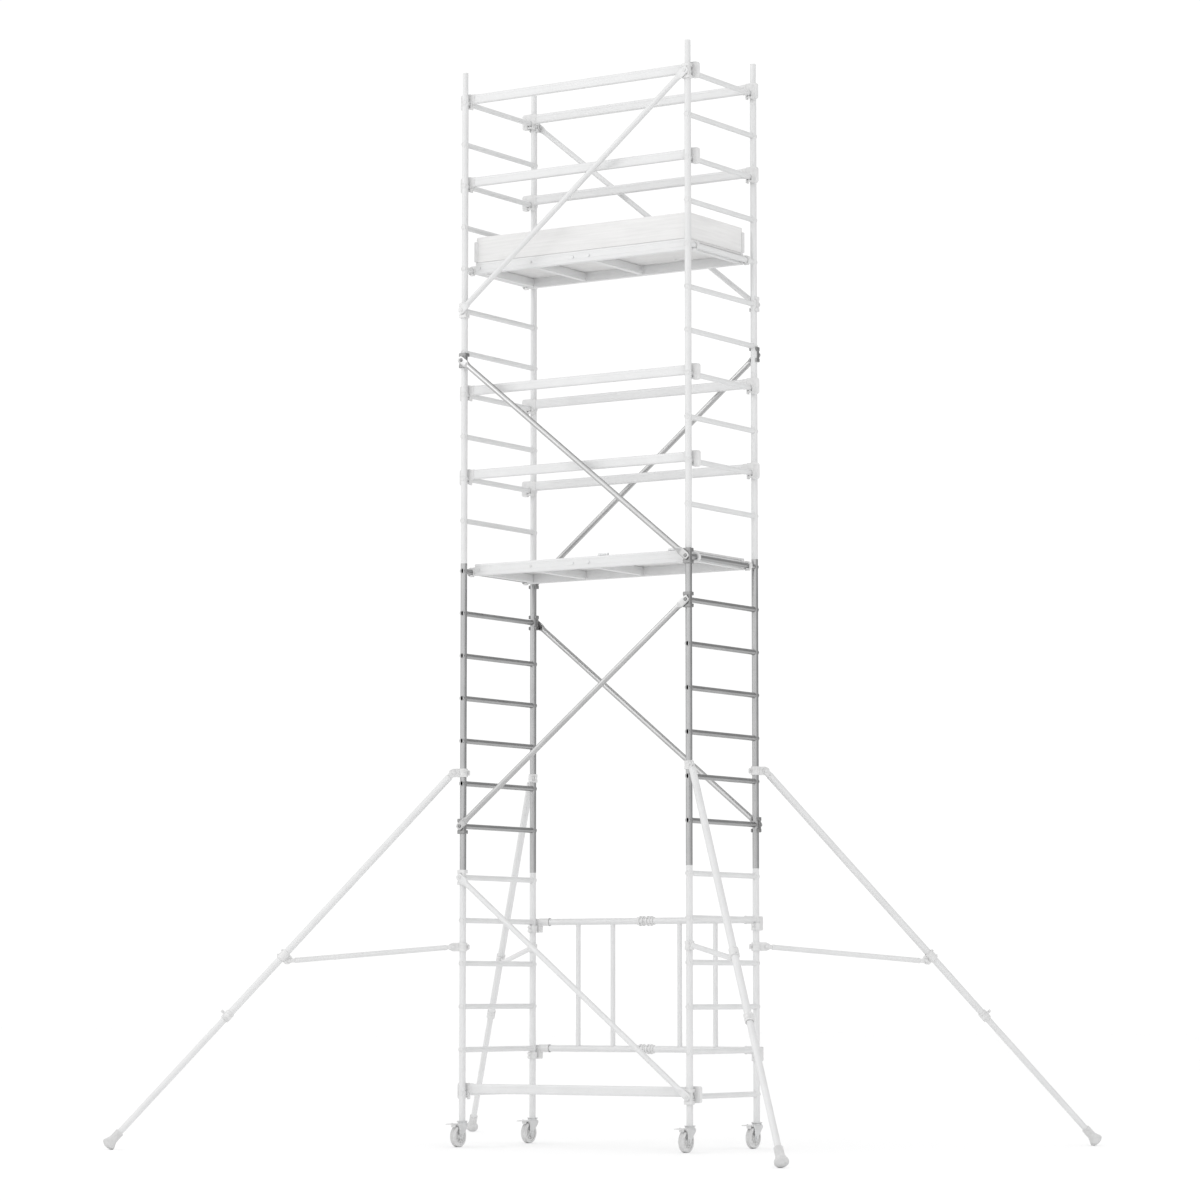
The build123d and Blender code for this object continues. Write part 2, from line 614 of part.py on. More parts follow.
TYRE_SEAT = 0.1
RACE_R = 28.0
RACE_TOP = 144.7
COLLAR_LOW = 145.0
COLLAR_R = 32.0
KINGPIN_R = 8.0
KINGPIN_BORE_R = 8.06
KINGPIN_HEAD_R = 12.0
KINGPIN_LOW = 121.0
KINGPIN_HEAD_TOP = 127.7
STEM_TOP = 275.0
PEDAL_HINGE = (-68.0, 131.0)    # from the swivel axis, and above the floor
PEDAL_TIP = -155.0
PEDAL_TIP_R = 12.0
PEDAL_HALF = LEG_INNER - 0.5
PEDAL_THICK = 5.0
PEDAL_LUG_R = 9.0
PEDAL_BARREL_R = 7.0
PEDAL_PIN_R = 3.5
PEDAL_PIN_BORE_R = 3.56
PEDAL_PIN_PAST = 2.0
SHOE_FRONT = -92.0
SHOE_REAR = -84.0
SHOE_HALF = 14.0
SHOE_LOW = 114.0
SHOE_HIGH = 133.0


def castor_fork(name, x, y):
    """Pressed fork with its ball race, lugs for the pedal, and the axle bolt."""
    axle_y = y - WHEEL_TRAIL
    outline = [(y + LEG_FRONT, CROWN_HIGH), (y + CROWN_REAR, CROWN_HIGH),
               (y + CROWN_REAR, CROWN_LOW - HEEL_DROP), (axle_y + FOOT_HALF, FOOT_Z),
               (axle_y - FOOT_HALF, FOOT_Z), (y + LEG_FRONT, CROWN_LOW - LEG_DROP)]
    with BuildPart() as fork:
        for side in (-1, 1):
            start = x + min(side * LEG_INNER, side * LEG_OUTER)
            with BuildSketch(Plane.YZ.offset(start)) as leg:
                Polygon(*outline, align=None)
                with Locations((axle_y, WHEEL_R)):
                    Circle(AXLE_EYE_R)
                with Locations((y + PEDAL_HINGE[0], PEDAL_HINGE[1])):
                    Circle(PEDAL_LUG_R)
                    Circle(PEDAL_PIN_BORE_R, mode=Mode.SUBTRACT)
                with Locations((axle_y, WHEEL_R)):
                    Circle(AXLE_EYE_BORE_R, mode=Mode.SUBTRACT)
            extrude(leg.sketch, amount=LEG_OUTER - LEG_INNER)
        crown = (x - LEG_OUTER, y + CROWN_FRONT, CROWN_LOW)
        block(crown, (x + LEG_OUTER, y + CROWN_REAR, CROWN_HIGH))
        bar((x, y, CROWN_HIGH), (x, y, RACE_TOP), RACE_R)
        bar((x, y, CROWN_LOW), (x, y, RACE_TOP), KINGPIN_BORE_R, mode=Mode.SUBTRACT)
        bar((x - LEG_OUTER, axle_y, WHEEL_R), (x + LEG_OUTER, axle_y, WHEEL_R), AXLE_R)
        for side in (-1, 1):
            head = x + side * (LEG_OUTER + AXLE_HEAD_GAP)
            end = head + side * AXLE_HEAD
            bar((x + side * LEG_OUTER, axle_y, WHEEL_R), (head, axle_y, WHEEL_R), AXLE_R)
            bar((head, axle_y, WHEEL_R), (end, axle_y, WHEEL_R), AXLE_HEAD_R)
    save(name, fork.part)


def castor_hub(name, x, axle_y):
    """Moulded wheel centre on a plain bore."""
    with BuildPart() as hub:
        for radius, width in ((HUB_BOSS_R, HUB_BOSS_WIDTH), (HUB_R, HUB_WIDTH)):
            bar((x - width / 2, axle_y, WHEEL_R), (x + width / 2, axle_y, WHEEL_R), radius)
        for side in (-1, 1):
            face = x + side * HUB_WIDTH / 2
            with BuildSketch(Plane(origin=(face, axle_y, WHEEL_R), z_dir=(-side, 0, 0))) as dish:
                Circle(HUB_R - HUB_RIM)
                Circle(HUB_BOSS_R + HUB_STEP, mode=Mode.SUBTRACT)
            extrude(dish.sketch, amount=HUB_DISH, mode=Mode.SUBTRACT)
        reach = HUB_BOSS_WIDTH
        bar((x - reach, axle_y, WHEEL_R), (x + reach, axle_y, WHEEL_R), AXLE_BORE_R, mode=Mode.SUBTRACT)
    save(name, hub.part)


def castor_tyre(name, x, axle_y):
    """Tyre ring with rounded shoulders."""
    with BuildPart() as tyre:
        start = (x - TYRE_WIDTH / 2, axle_y, WHEEL_R)
        bar(start, (x + TYRE_WIDTH / 2, axle_y, WHEEL_R), WHEEL_R, HUB_R + TYRE_SEAT)
        shoulders = tyre.edges().filter_by(GeomType.CIRCLE).sort_by(SortBy.RADIUS)[-2:]
        fillet(shoulders, radius=SHOULDER_R)
    save(name, tyre.part)


def castor_pedal(name, x, y):
    """Brake pedal with its pin and the shoe that meets the tyre."""
    pin_y = y + PEDAL_HINGE[0]
    pin_z = PEDAL_HINGE[1]
    reach = LEG_OUTER + PEDAL_PIN_PAST
    half = PEDAL_HALF
    with BuildPart() as pedal:
        bar((x - reach, pin_y, pin_z), (x + reach, pin_y, pin_z), PEDAL_PIN_R)
        bar((x - half, pin_y, pin_z), (x + half, pin_y, pin_z), PEDAL_BARREL_R)
        block((x - half, y + PEDAL_TIP, pin_z), (x + half, pin_y, pin_z + PEDAL_THICK))
        shoe = (x - SHOE_HALF, y + SHOE_FRONT, SHOE_LOW)
        block(shoe, (x + SHOE_HALF, y + SHOE_REAR, SHOE_HIGH))
        tip = pedal.edges().filter_by(Axis.Z).group_by(Axis.Y)[0]
        fillet(tip, radius=PEDAL_TIP_R)
    save(name, pedal.part)


with BuildPart() as castor_stems:
    for side, rear in CORNERS.values():
        x = side * HALF_X
        y = rear * HALF_Y
        bar((x, y, POST_FOOT), (x, y, STEM_TOP), SPIGOT_R)
        bar((x, y, COLLAR_LOW), (x, y, POST_FOOT), COLLAR_R)
        bar((x, y, KINGPIN_LOW), (x, y, COLLAR_LOW), KINGPIN_R)
        bar((x, y, KINGPIN_LOW), (x, y, KINGPIN_HEAD_TOP), KINGPIN_HEAD_R)
save("castor_stems", castor_stems.part)

for corner, (side, rear) in CORNERS.items():
    x = side * HALF_X
    y = rear * HALF_Y
    castor_fork("castor_" + corner + "_fork", x, y)
    castor_hub("castor_" + corner + "_hub", x, y - WHEEL_TRAIL)
    castor_tyre("castor_" + corner + "_tyre", x, y - WHEEL_TRAIL)
    castor_pedal("castor_" + corner + "_pedal", x, y)


# ---- stabilisers ----------------------------------------------------------------------
TUBE_R = 20.5
TUBE_BORE_R = 18.5
LEG_R = 18.2
LEG_BORE_R = 16.2
STRUT_R = 15.0
STRUT_BORE_R = 13.4
UPPER_CLAMP = 2170.0
LOWER_CLAMP = 1155.0
LUG_PIN = 60.0                  # lug pin from the post centre
FOOT_REACH = 2021.0             # middle of the foot's dome from the post centre
DOME_R = 56.0
RIM_R = 39.0
TUBE_START = 36.0               # from the upper pin
TUBE_END = 1950.0
LEG_START = 1250.0
BRACKET_AT = 1456.0             # strut bracket along the tube
BRACKET_OFFSET = 44.0           # strut pin from the tube's centre line
CLAMP_R = 27.0
CLAMP_TALL = 50.0
LUG_HALF = 4.0
LUG_PIN_R = 6.0
LUG_PIN_HOLE_R = 6.1
LUG_PIN_HALF = 14.0
LUG_START = 21.0                # from the post centre
LUG_END = 83.0
CLAMP_BORE_R = POST_R + 0.3
BRACKET_HALF = 28.0
BRACKET_BORE_R = TUBE_R + 0.2
BRACKET_LUG_START = 20.0        # from the tube's centre line
BRACKET_LUG_END = 58.0
CHEEK_GAP = 0.3
CHEEK_THICK = 6.0
PLUG_LENGTH = 8.0
PLUG_BITE = 0.5                 # end plugs are welded into their tubes
TUBE_CHEEK_WIDTH = 34.0
TUBE_CHEEK_SINK = 12.0
STRUT_CHEEK_WIDTH = 24.0
STRUT_CHEEK_SINK = 10.0
LEG_LOCK_LENGTH = 55.0
LEG_LOCK_PAST = 6.0
LEG_LOCK_R = 26.0
KNOB_R = 9.0
KNOB_ROOT = 23.4                # from the tube's centre line
KNOB_STAND = 22.0
LEG_PAST = 7.8                  # leg end beyond the dome's centre
FOOT_FLOOR = 8.0                # the same for the socket in the foot
FOOT_SOCKET_R = LEG_R + 0.1
FOOT_SLEEVE_R = 25.0
FOOT_SLEEVE_START = -60.0
FOOT_SLEEVE_END = -8.0
FOOT_FLARE = (30.0, 14.0)            # radius, and distance from the dome's centre
RIM_START = 28.0
SLANT = atan2(FOOT_REACH - LUG_PIN, UPPER_CLAMP - DOME_R)
DOME_AT = sqrt((FOOT_REACH - LUG_PIN) ** 2 + (UPPER_CLAMP - DOME_R) ** 2)


def cheeks(pin, along, across, width, length):
    """Two drilled cheeks that straddle a lug and run from its pin into a tube."""
    for sign in (-1, 1):
        near = LUG_HALF + CHEEK_GAP
        origin = pin + across * (near if sign > 0 else -near - CHEEK_THICK)
        with BuildSketch(Plane(origin=origin, x_dir=along, z_dir=across)) as cheek:
            Circle(width / 2)
            with Locations((length / 2, 0)):
                Rectangle(length, width)
            Circle(LUG_PIN_HOLE_R, mode=Mode.SUBTRACT)
        extrude(cheek.sketch, amount=CHEEK_THICK)


def stabiliser(corner, side, rear):
    """Splayed telescopic leg with its strut, clamps and rubber foot."""
    out = Vector(side, rear, 0).normalized()
    across = Vector(-out.Y, out.X, 0)
    post = Vector(side * HALF_X, rear * HALF_Y, 0)
    up = Vector(0, 0, 1)
    along = out * sin(SLANT) - up * cos(SLANT)
    below = -out * cos(SLANT) - up * sin(SLANT)
    top_pin = post + out * LUG_PIN + up * UPPER_CLAMP
    low_pin = post + out * LUG_PIN + up * LOWER_CLAMP
    strut_pin = top_pin + along * BRACKET_AT + below * BRACKET_OFFSET
    strut_line = (strut_pin - low_pin).normalized()
    name = "stabiliser_" + corner

    with BuildPart() as tube:
        bar(top_pin + along * TUBE_START, top_pin + along * TUBE_END, TUBE_R, TUBE_BORE_R)
        plug_end = TUBE_START + PLUG_LENGTH
        bar(top_pin + along * TUBE_START, top_pin + along * plug_end, TUBE_BORE_R + PLUG_BITE)
        cheeks(top_pin, along, across, TUBE_CHEEK_WIDTH, TUBE_START + TUBE_CHEEK_SINK)
        strut_start = low_pin + strut_line * TUBE_START
        bar(strut_start, strut_pin - strut_line * TUBE_START, STRUT_R, STRUT_BORE_R)
        for pin, inward in ((low_pin, strut_line), (strut_pin, -strut_line)):
            bar(pin + inward * TUBE_START, pin + inward * plug_end, STRUT_BORE_R + PLUG_BITE)
            cheeks(pin, inward, across, STRUT_CHEEK_WIDTH, TUBE_START + STRUT_CHEEK_SINK)
    save(name + "_tube", tube.part)

    with BuildPart() as clamps:
        for pin, height in ((top_pin, UPPER_CLAMP), (low_pin, LOWER_CLAMP)):
            seat = Plane(origin=post + up * (height - CLAMP_TALL / 2), x_dir=out, z_dir=up)
            with BuildSketch(seat) as section:
                Circle(CLAMP_R)
                with Locations(((LUG_START + LUG_END) / 2, 0)):
                    Rectangle(LUG_END - LUG_START, 2 * LUG_HALF)
                Circle(CLAMP_BORE_R, mode=Mode.SUBTRACT)
            extrude(section.sketch, amount=CLAMP_TALL)
            bar(pin - across * LUG_PIN_HALF, pin + across * LUG_PIN_HALF, LUG_PIN_R)
        middle = top_pin + along * BRACKET_AT
        seat = Plane(origin=middle - along * BRACKET_HALF, x_dir=below, z_dir=along)
        with BuildSketch(seat) as bracket:
            Circle(CLAMP_R)
            with Locations(((BRACKET_LUG_START + BRACKET_LUG_END) / 2, 0)):
                Rectangle(BRACKET_LUG_END - BRACKET_LUG_START, 2 * LUG_HALF)
            Circle(BRACKET_BORE_R, mode=Mode.SUBTRACT)
        extrude(bracket.sketch, amount=2 * BRACKET_HALF)
        bar(strut_pin - across * LUG_PIN_HALF, strut_pin + across * LUG_PIN_HALF, LUG_PIN_R)
        lock_end = top_pin + along * (TUBE_END + LEG_LOCK_PAST)
        lock_start = lock_end - along * LEG_LOCK_LENGTH
        bar(lock_start, lock_end, LEG_LOCK_R, BRACKET_BORE_R)
        knob = lock_end - along * (LEG_LOCK_LENGTH / 2)
        bar(knob - below * KNOB_ROOT, knob - below * (LEG_LOCK_R + KNOB_STAND), KNOB_R)
    save(name + "_clamps", clamps.part)

    dome = top_pin + along * DOME_AT
    with BuildPart() as leg:
        bar(top_pin + along * LEG_START, dome + along * LEG_PAST, LEG_R, LEG_BORE_R)
    save(name + "_leg", leg.part)

    rim_at = DOME_R * cos(asin(RIM_R / DOME_R))
    half_angle = asin(RIM_R / DOME_R) / 2
    flare_start = (FOOT_SLEEVE_R, FOOT_SLEEVE_END)
    with BuildPart() as foot:
        with BuildSketch(Plane(origin=dome, x_dir=across, z_dir=across.cross(along))):
            with BuildLine():
                Polyline((0, DOME_R), (0, FOOT_FLOOR), (FOOT_SOCKET_R, FOOT_FLOOR),
                         (FOOT_SOCKET_R, FOOT_SLEEVE_START), (FOOT_SLEEVE_R, FOOT_SLEEVE_START),
                         flare_start)
                Spline(flare_start, FOOT_FLARE, (RIM_R, RIM_START), tangents=((0, 1), (0.6, 1)))
                Line((RIM_R, RIM_START), (RIM_R, rim_at))
                ThreePointArc((RIM_R, rim_at), (DOME_R * sin(half_angle), DOME_R * cos(half_angle)),
                              (0, DOME_R))
            make_face()
        revolve(axis=Axis(dome, along))
    save(name + "_foot", foot.part)


for corner, (side, rear) in CORNERS.items():
    stabiliser(corner, side, rear)
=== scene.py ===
from math import acos, asin, atan2, cos, degrees, pi, radians, sin, sqrt

import bpy
import numpy as np
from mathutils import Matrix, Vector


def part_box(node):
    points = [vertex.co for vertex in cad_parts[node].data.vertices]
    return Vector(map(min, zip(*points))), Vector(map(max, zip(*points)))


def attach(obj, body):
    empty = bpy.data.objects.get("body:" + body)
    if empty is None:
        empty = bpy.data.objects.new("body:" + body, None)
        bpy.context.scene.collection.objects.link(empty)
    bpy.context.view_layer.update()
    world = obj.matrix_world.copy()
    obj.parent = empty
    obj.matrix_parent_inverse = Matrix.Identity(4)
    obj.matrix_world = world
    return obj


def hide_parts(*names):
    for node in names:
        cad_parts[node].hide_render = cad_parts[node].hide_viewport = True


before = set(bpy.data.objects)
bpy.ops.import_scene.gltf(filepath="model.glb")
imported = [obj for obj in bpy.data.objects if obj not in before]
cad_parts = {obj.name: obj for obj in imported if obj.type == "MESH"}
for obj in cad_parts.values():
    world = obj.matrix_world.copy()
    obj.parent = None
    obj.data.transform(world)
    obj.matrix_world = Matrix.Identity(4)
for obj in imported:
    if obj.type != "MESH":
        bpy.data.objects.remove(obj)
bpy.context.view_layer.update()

X = np.array([1.0, 0.0, 0.0])
Y = np.array([0.0, 1.0, 0.0])
Z = np.array([0.0, 0.0, 1.0])
CORNERS = {"front_left": (-1, -1), "front_right": (1, -1),
           "rear_left": (-1, 1), "rear_right": (1, 1)}

# ---- sizes of the ladder frames, in metres, from the frame's own nodes ----
SLACK = 0.0002                  # between a ring and the tube inside it
PITCH = 0.250
RUNG_R = 0.0155
RUNG_OVERHANG = 0.0194
RUNG_TO_TOP = 0.045
SPIGOT_STAND = 0.137
left_low, left_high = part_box("base_frame_left")
POST_R = (left_high.x - left_low.x) / 2
HALF_X = -(left_high.x + left_low.x) / 2
HALF_Y = left_high.y - RUNG_OVERHANG


def levels(node, count):
    """Heights of a frame's rungs, counted down from the top of its posts."""
    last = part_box(node)[1].z - SPIGOT_STAND - RUNG_TO_TOP
    return last - PITCH * np.arange(count)[::-1]


BASE = levels("base_frame_left", 6)
MODULE = levels("module_frame_left", 7)
MIDDLE = levels("middle_frame_left", 7)
TOP = levels("top_frame_left", 4)


# ---- shapes: each returns a closed shell as (points, face corners, corners per face) ----
HAIR_EDGE = 0.0003              # rims of washers and screws
FINE_EDGE = 0.0006              # rims of ribs and beads
CRISP_EDGE = 0.001              # rims of small mouldings and pressings
RIVET_SINK = 0.0003             # how far a rivet's head is let in


def unit(v):
    v = np.asarray(v, float)
    return v / np.linalg.norm(v)


def square_to(axis):
    """Two unit directions square to an axis and to each other."""
    side = unit(np.cross(Z, axis) if abs(axis[2]) < 0.95 else np.cross(Y, axis))
    return side, np.cross(axis, side)


def skin(grid, wrap=False):
    """Closed shell over a grid whose rows are rings. Neighbouring rings are joined by quads;
    the end rings are one face each, or are joined to each other when wrap is set. The shell
    is turned to face outwards by the sign of its volume, a sum of centre . area over faces."""
    rows, cols = grid.shape[:2]
    here = np.arange(rows * cols).reshape(rows, cols)
    beside = np.roll(here, -1, axis=1)
    if wrap:
        ahead = [np.roll(beside, -1, axis=0), np.roll(here, -1, axis=0)]
        quads = np.stack([here, beside] + ahead, -1).reshape(-1, 4)
    else:
        quads = np.stack([here[:-1], beside[:-1], beside[1:], here[1:]], -1).reshape(-1, 4)
    points = grid.reshape(-1, 3)
    loops = quads.reshape(-1)
    counts = np.full(len(quads), 4)
    corners = points[quads]
    middle = points.mean(0)
    area = np.cross(corners[:, 2] - corners[:, 0], corners[:, 3] - corners[:, 1]) / 2
    volume = ((corners.mean(1) - middle) * area).sum()
    if not wrap:
        loops = np.concatenate([loops, here[0][::-1], here[-1]])
        counts = np.concatenate([counts, [cols, cols]])
        for ring, sign in ((grid[0], -1), (grid[-1], 1)):
            face = np.cross(ring, np.roll(ring, -1, axis=0)).sum(0) / 2
            volume += sign * np.dot(ring.mean(0) - middle, face)
    if volume < 0:
        starts = np.cumsum(counts) - counts
        last = np.repeat(starts + counts - 1, counts)
        loops = loops[last - (np.arange(len(loops)) - np.repeat(starts, counts))]
    return points, loops, counts


def lathe(profile, origin, axis, turns=32, wrap=False):
    """Surface of revolution: (along, radius) pairs turned about an axis. A profile that is
    itself a closed loop, as of a hollow tube, wraps."""
    profile = np.asarray(profile, float)
    axis = unit(axis)
    side, up = square_to(axis)
    angle = 2 * pi * np.arange(turns) / turns
    spoke = np.cos(angle)[:, None] * side + np.sin(angle)[:, None] * up
    along = profile[:, None, :1] * axis
    return skin(np.asarray(origin, float) + along + profile[:, None, 1:] * spoke[None], wrap)


def rod(start, end, radius, edge=0.0008, turns=24):
    """Round bar between two points, its rims turned over by the edge."""
    start = np.asarray(start, float)
    span = np.asarray(end, float) - start
    length = np.linalg.norm(span)
    edge = min(edge, length / 3)
    profile = [(0, radius - edge), (edge, radius), (length - edge, radius), (length, radius - edge)]
    return lathe(profile, start, span, turns)


def collar(origin, axis, low, high, radius, bore, edge, turns=44):
    """Ring from low to high along an axis, its outer rims turned over by the edge."""
    section = [(low, bore), (low, radius - edge), (low + edge, radius), (high - edge, radius),
               (high, radius - edge), (high, bore)]
    return lathe(section, origin, axis, turns, wrap=True)


def pipe(start, end, radius, bore, edge=0.0005, turns=36):
    """Hollow tube between two points."""
    span = np.asarray(end, float) - start
    return collar(start, span, 0, np.linalg.norm(span), radius, bore, edge, turns)


def arc(centre, radius, first, last, count=12):
    """Points on a circle between two angles in degrees."""
    angle = np.radians(np.linspace(first, last, count))
    return np.stack([centre[0] + radius * np.cos(angle), centre[1] + radius * np.sin(angle)], -1)


def rounded(corners, radius, steps=6):
    """Polygon whose corners are arcs; the radius is one number, or one for each corner."""
    corners = np.asarray(corners, float)
    radius = np.broadcast_to(radius, len(corners))
    behind = np.roll(corners, 1, axis=0) - corners
    ahead = np.roll(corners, -1, axis=0) - corners
    parts = []
    for corner, a, b, r in zip(corners, behind, ahead, radius):
        a = unit(a)
        b = unit(b)
        half = acos(np.clip(a @ b, -1, 1)) / 2
        if r <= 0 or half > pi / 2 - 0.001:
            parts.append(corner[None])
            continue
        centre = corner + unit(a + b) * r / sin(half)
        first = corner + a * r / np.tan(half) - centre
        last = corner + b * r / np.tan(half) - centre
        t = np.linspace(0, 1, steps)[:, None]
        turn = pi - 2 * half
        between = np.sin((1 - t) * turn) * first + np.sin(t * turn) * last
        parts.append(centre + between / sin(turn))
    return np.concatenate(parts)


def rectangle(low, high, radius=0.0, steps=6):
    """Rectangle between two corners, with rounded corners."""
    u0, u1 = sorted((low[0], high[0]))
    v0, v1 = sorted((low[1], high[1]))
    return rounded([(u0, v0), (u1, v0), (u1, v1), (u0, v1)], radius, steps)


def inset(outline, distance):
    """Outline moved inwards: a point goes along n1 + n2, the normals of its two edges, over
    1 + n1.n2, so that both edges move by the distance."""
    edge = np.roll(outline, -1, axis=0) - outline
    edge = edge / np.maximum(np.linalg.norm(edge, axis=1), 1e-9)[:, None]
    normal = np.stack([-edge[:, 1], edge[:, 0]], -1)
    both = normal + np.roll(normal, 1, axis=0)
    both = 2 * both / np.maximum((both ** 2).sum(1), 0.5)[:, None]
    after = np.roll(outline, -1, axis=0)
    turning = (outline[:, 0] * after[:, 1] - after[:, 0] * outline[:, 1]).sum()
    return outline + both * distance * np.sign(turning)


def prism(outline, origin, u, v, low, high, edge=0.0015, w=None):
    """Outline in the plane of u and v, carried along w (or u x v) from low to high. The rim
    of each end is a quarter round of the edge's radius, in two flats."""
    outline = np.asarray(outline, float)
    u = np.asarray(u, float)
    v = np.asarray(v, float)
    w = np.cross(u, v) if w is None else w
    turn = np.linspace(0, pi / 2, 3)
    tuck = edge * (1 - np.sin(turn))
    rise = edge * (1 - np.cos(turn))
    rings = np.stack([inset(outline, t) for t in np.concatenate([tuck, tuck[::-1]])])
    heights = np.concatenate([low + rise, high - rise[::-1]])[:, None, None]
    return skin(np.asarray(origin, float) + rings[..., :1] * u + rings[..., 1:] * v + heights * w)


def plate(low, high, edge=0.0015):
    """Rounded block between its lowest and highest corners."""
    low, high = np.minimum(low, high), np.maximum(low, high)
    outline = rectangle(low[:2], high[:2], edge, 3)
    return prism(outline, (0, 0, 0), X, Y, low[2], high[2], edge)


def swept(path, radius, sides=8):
    """Round section carried along a closed path."""
    ahead = np.roll(path, -1, axis=0) - np.roll(path, 1, axis=0)
    ahead /= np.linalg.norm(ahead, axis=1)[:, None]
    out = path - path.mean(0)
    out -= (out * ahead).sum(1)[:, None] * ahead
    out /= np.linalg.norm(out, axis=1)[:, None]
    up = np.cross(ahead, out)
    angle = 2 * pi * np.arange(sides) / sides
    ring = np.cos(angle)[None, :, None] * out[:, None] + np.sin(angle)[None, :, None] * up[:, None]
    size = np.broadcast_to(np.asarray(radius, float), len(path))[:, None, None]
    return skin(path[:, None] + size * ring, wrap=True)


WELD_RIPPLE = 0.15              # share of a bead's thickness
WELD_RIPPLES = 13


def weld_bead(origin, axis, leaving, inner, outer, size=0.0022, points=52):
    """Bead where a tube of radius inner leaves one of radius outer and the given axis. With
    s = inner cos t square to both, the path is s, inner sin t along the axis, and
    sqrt(outer^2 - s^2) along the leaving tube; its thickness ripples on the way round."""
    t = 2 * pi * np.arange(points) / points
    s = inner * np.cos(t)[:, None]
    side = np.cross(axis, leaving)
    rise = np.sqrt(outer ** 2 - s ** 2)
    path = origin + s * side + inner * np.sin(t)[:, None] * axis + rise * leaving
    return swept(path, size * (1 + WELD_RIPPLE * np.cos(WELD_RIPPLES * t)))


def bolt(origin, axis, across, thick, washer=True):
    """Hexagon head with a chamfered rim, on a round washer."""
    axis = unit(axis)
    origin = np.asarray(origin, float)
    side, up = square_to(axis)
    angle = pi / 3 * np.arange(6)
    outline = np.stack([np.cos(angle), np.sin(angle)], -1) * across / sqrt(3)
    foot = 0.0012 if washer else 0.0
    shells = [prism(outline, origin, side, up, foot, thick, across * 0.06, w=axis)]
    if washer:
        shells.append(rod(origin, origin + axis * foot, across * 0.66, HAIR_EDGE))
    return shells


def dome_head(origin, axis, radius, height, turns=20):
    """Rivet head: radius r cos t at height h sin t."""
    t = np.linspace(0, 0.46 * pi, 5)
    profile = np.stack([height * np.sin(t), radius * np.cos(t)], -1)
    return lathe(profile, origin, axis, turns)


# ---- finishes ----
class Tree:
    """The node tree of a material or of the room."""

    def __init__(self, owner):
        owner.use_nodes = True
        self.nodes = owner.node_tree.nodes
        self.links = owner.node_tree.links

    def add(self, kind, settings=None, **inputs):
        """A node, its settings, and its inputs: each a value or another node's output."""
        node = self.nodes.new("ShaderNode" + kind)
        for name, value in (settings or {}).items():
            setattr(node, name, value)
        for name, value in inputs.items():
            numbered = name[1:].isdigit()
            socket = node.inputs[int(name[1:]) if numbered else name.replace("_", " ")]
            if isinstance(value, bpy.types.NodeSocket):
                self.links.new(value, socket)
            else:
                socket.default_value = value
        return node


class Finish(Tree):
    """A material being made: a principled shader and short ways to feed its sockets."""

    def __init__(self, name, metallic=0.0, **sockets):
        self.material = bpy.data.materials.new(name)
        super().__init__(self.material)
        self.shader = self.nodes["Principled BSDF"]
        self.shader.inputs["Metallic"].default_value = metallic
        for socket, value in sockets.items():
            self.shader.inputs[socket.replace("_", " ")].default_value = value
        self.place = self.add("TexCoord").outputs["Object"]

    def noise(self, scale, stretch=(1, 1, 1), detail=3.0, rough=0.55):
        """Noise on Object coordinates, drawn out by a stretch in each direction."""
        placed = self.add("Mapping", Vector=self.place, Scale=stretch)
        made = self.add("TexNoise", Vector=placed.outputs[0], Scale=scale, Detail=detail,
                        Roughness=rough)
        return made.outputs["Fac"]

    def spread(self, value, low, high, start=0.3, end=0.7):
        """A 0..1 pattern taken from the range start..end to the range low..high."""
        made = self.add("MapRange", Value=value, i1=start, i2=end, i3=low, i4=high)
        return made.outputs[0]

    def colour(self, pattern, dark, light):
        """Base colour between two colours by a pattern."""
        mixed = self.add("Mix", {"data_type": "RGBA"}, i0=pattern, i6=(*dark, 1), i7=(*light, 1))
        self.links.new(mixed.outputs[2], self.shader.inputs["Base Color"])

    def roughness(self, pattern, low, high):
        self.links.new(self.spread(pattern, low, high), self.shader.inputs["Roughness"])

    def bump(self, pattern, depth, strength=1.0):
        """Relief of the given depth in metres."""
        made = self.add("Bump", Height=pattern, Distance=depth, Strength=strength)
        self.links.new(made.outputs[0], self.shader.inputs["Normal"])


def grey(value, warm=0.0):
    return (value * (1 + warm), value, value * (1 - warm))


LINES = 900                     # drawing lines to a metre
ALONG = 0.012                   # how little they change along the tube
STRETCH = {"x": (ALONG, 1, 1), "y": (1, ALONG, 1), "z": (1, 1, ALONG), "slant": (0.4, 0.4, 0.4)}


def drawn_tube(name, dark, light, low, high, metallic, lines_along):
    """Satin aluminium: long drawing lines along the tube, faint clouding, and soft scuffs. A
    frame's lines run along Z on its posts and along Y on its rungs."""
    made = Finish(name, metallic)
    if lines_along == "frame":
        apart = made.add("SeparateXYZ", Vector=made.place)
        reach = made.add("Math", {"operation": "ABSOLUTE"}, i0=apart.outputs["Y"])
        post = made.add("Math", {"operation": "GREATER_THAN"}, i0=reach.outputs[0],
                        i1=HALF_Y - POST_R)
        lines = made.add("Mix", i0=post.outputs[0], i2=made.noise(LINES, STRETCH["y"], 2),
                         i3=made.noise(LINES, STRETCH["z"], 2)).outputs[0]
    else:
        lines = made.noise(LINES, STRETCH[lines_along], 2)
    clouds = made.noise(7, detail=5)
    scuffs = made.spread(made.noise(55, detail=6, rough=0.7), 0, 1, 0.60, 0.74)
    both = made.add("Mix", i0=0.5, i2=lines, i3=clouds).outputs[0]
    worn = made.add("Math", {"operation": "SUBTRACT"}, i0=made.spread(both, 0, 1, 0.38, 0.62),
                    i1=scuffs)
    made.colour(worn.outputs[0], dark, light)
    made.roughness(both, low, high)
    made.bump(lines, 0.00012)
    return made.material


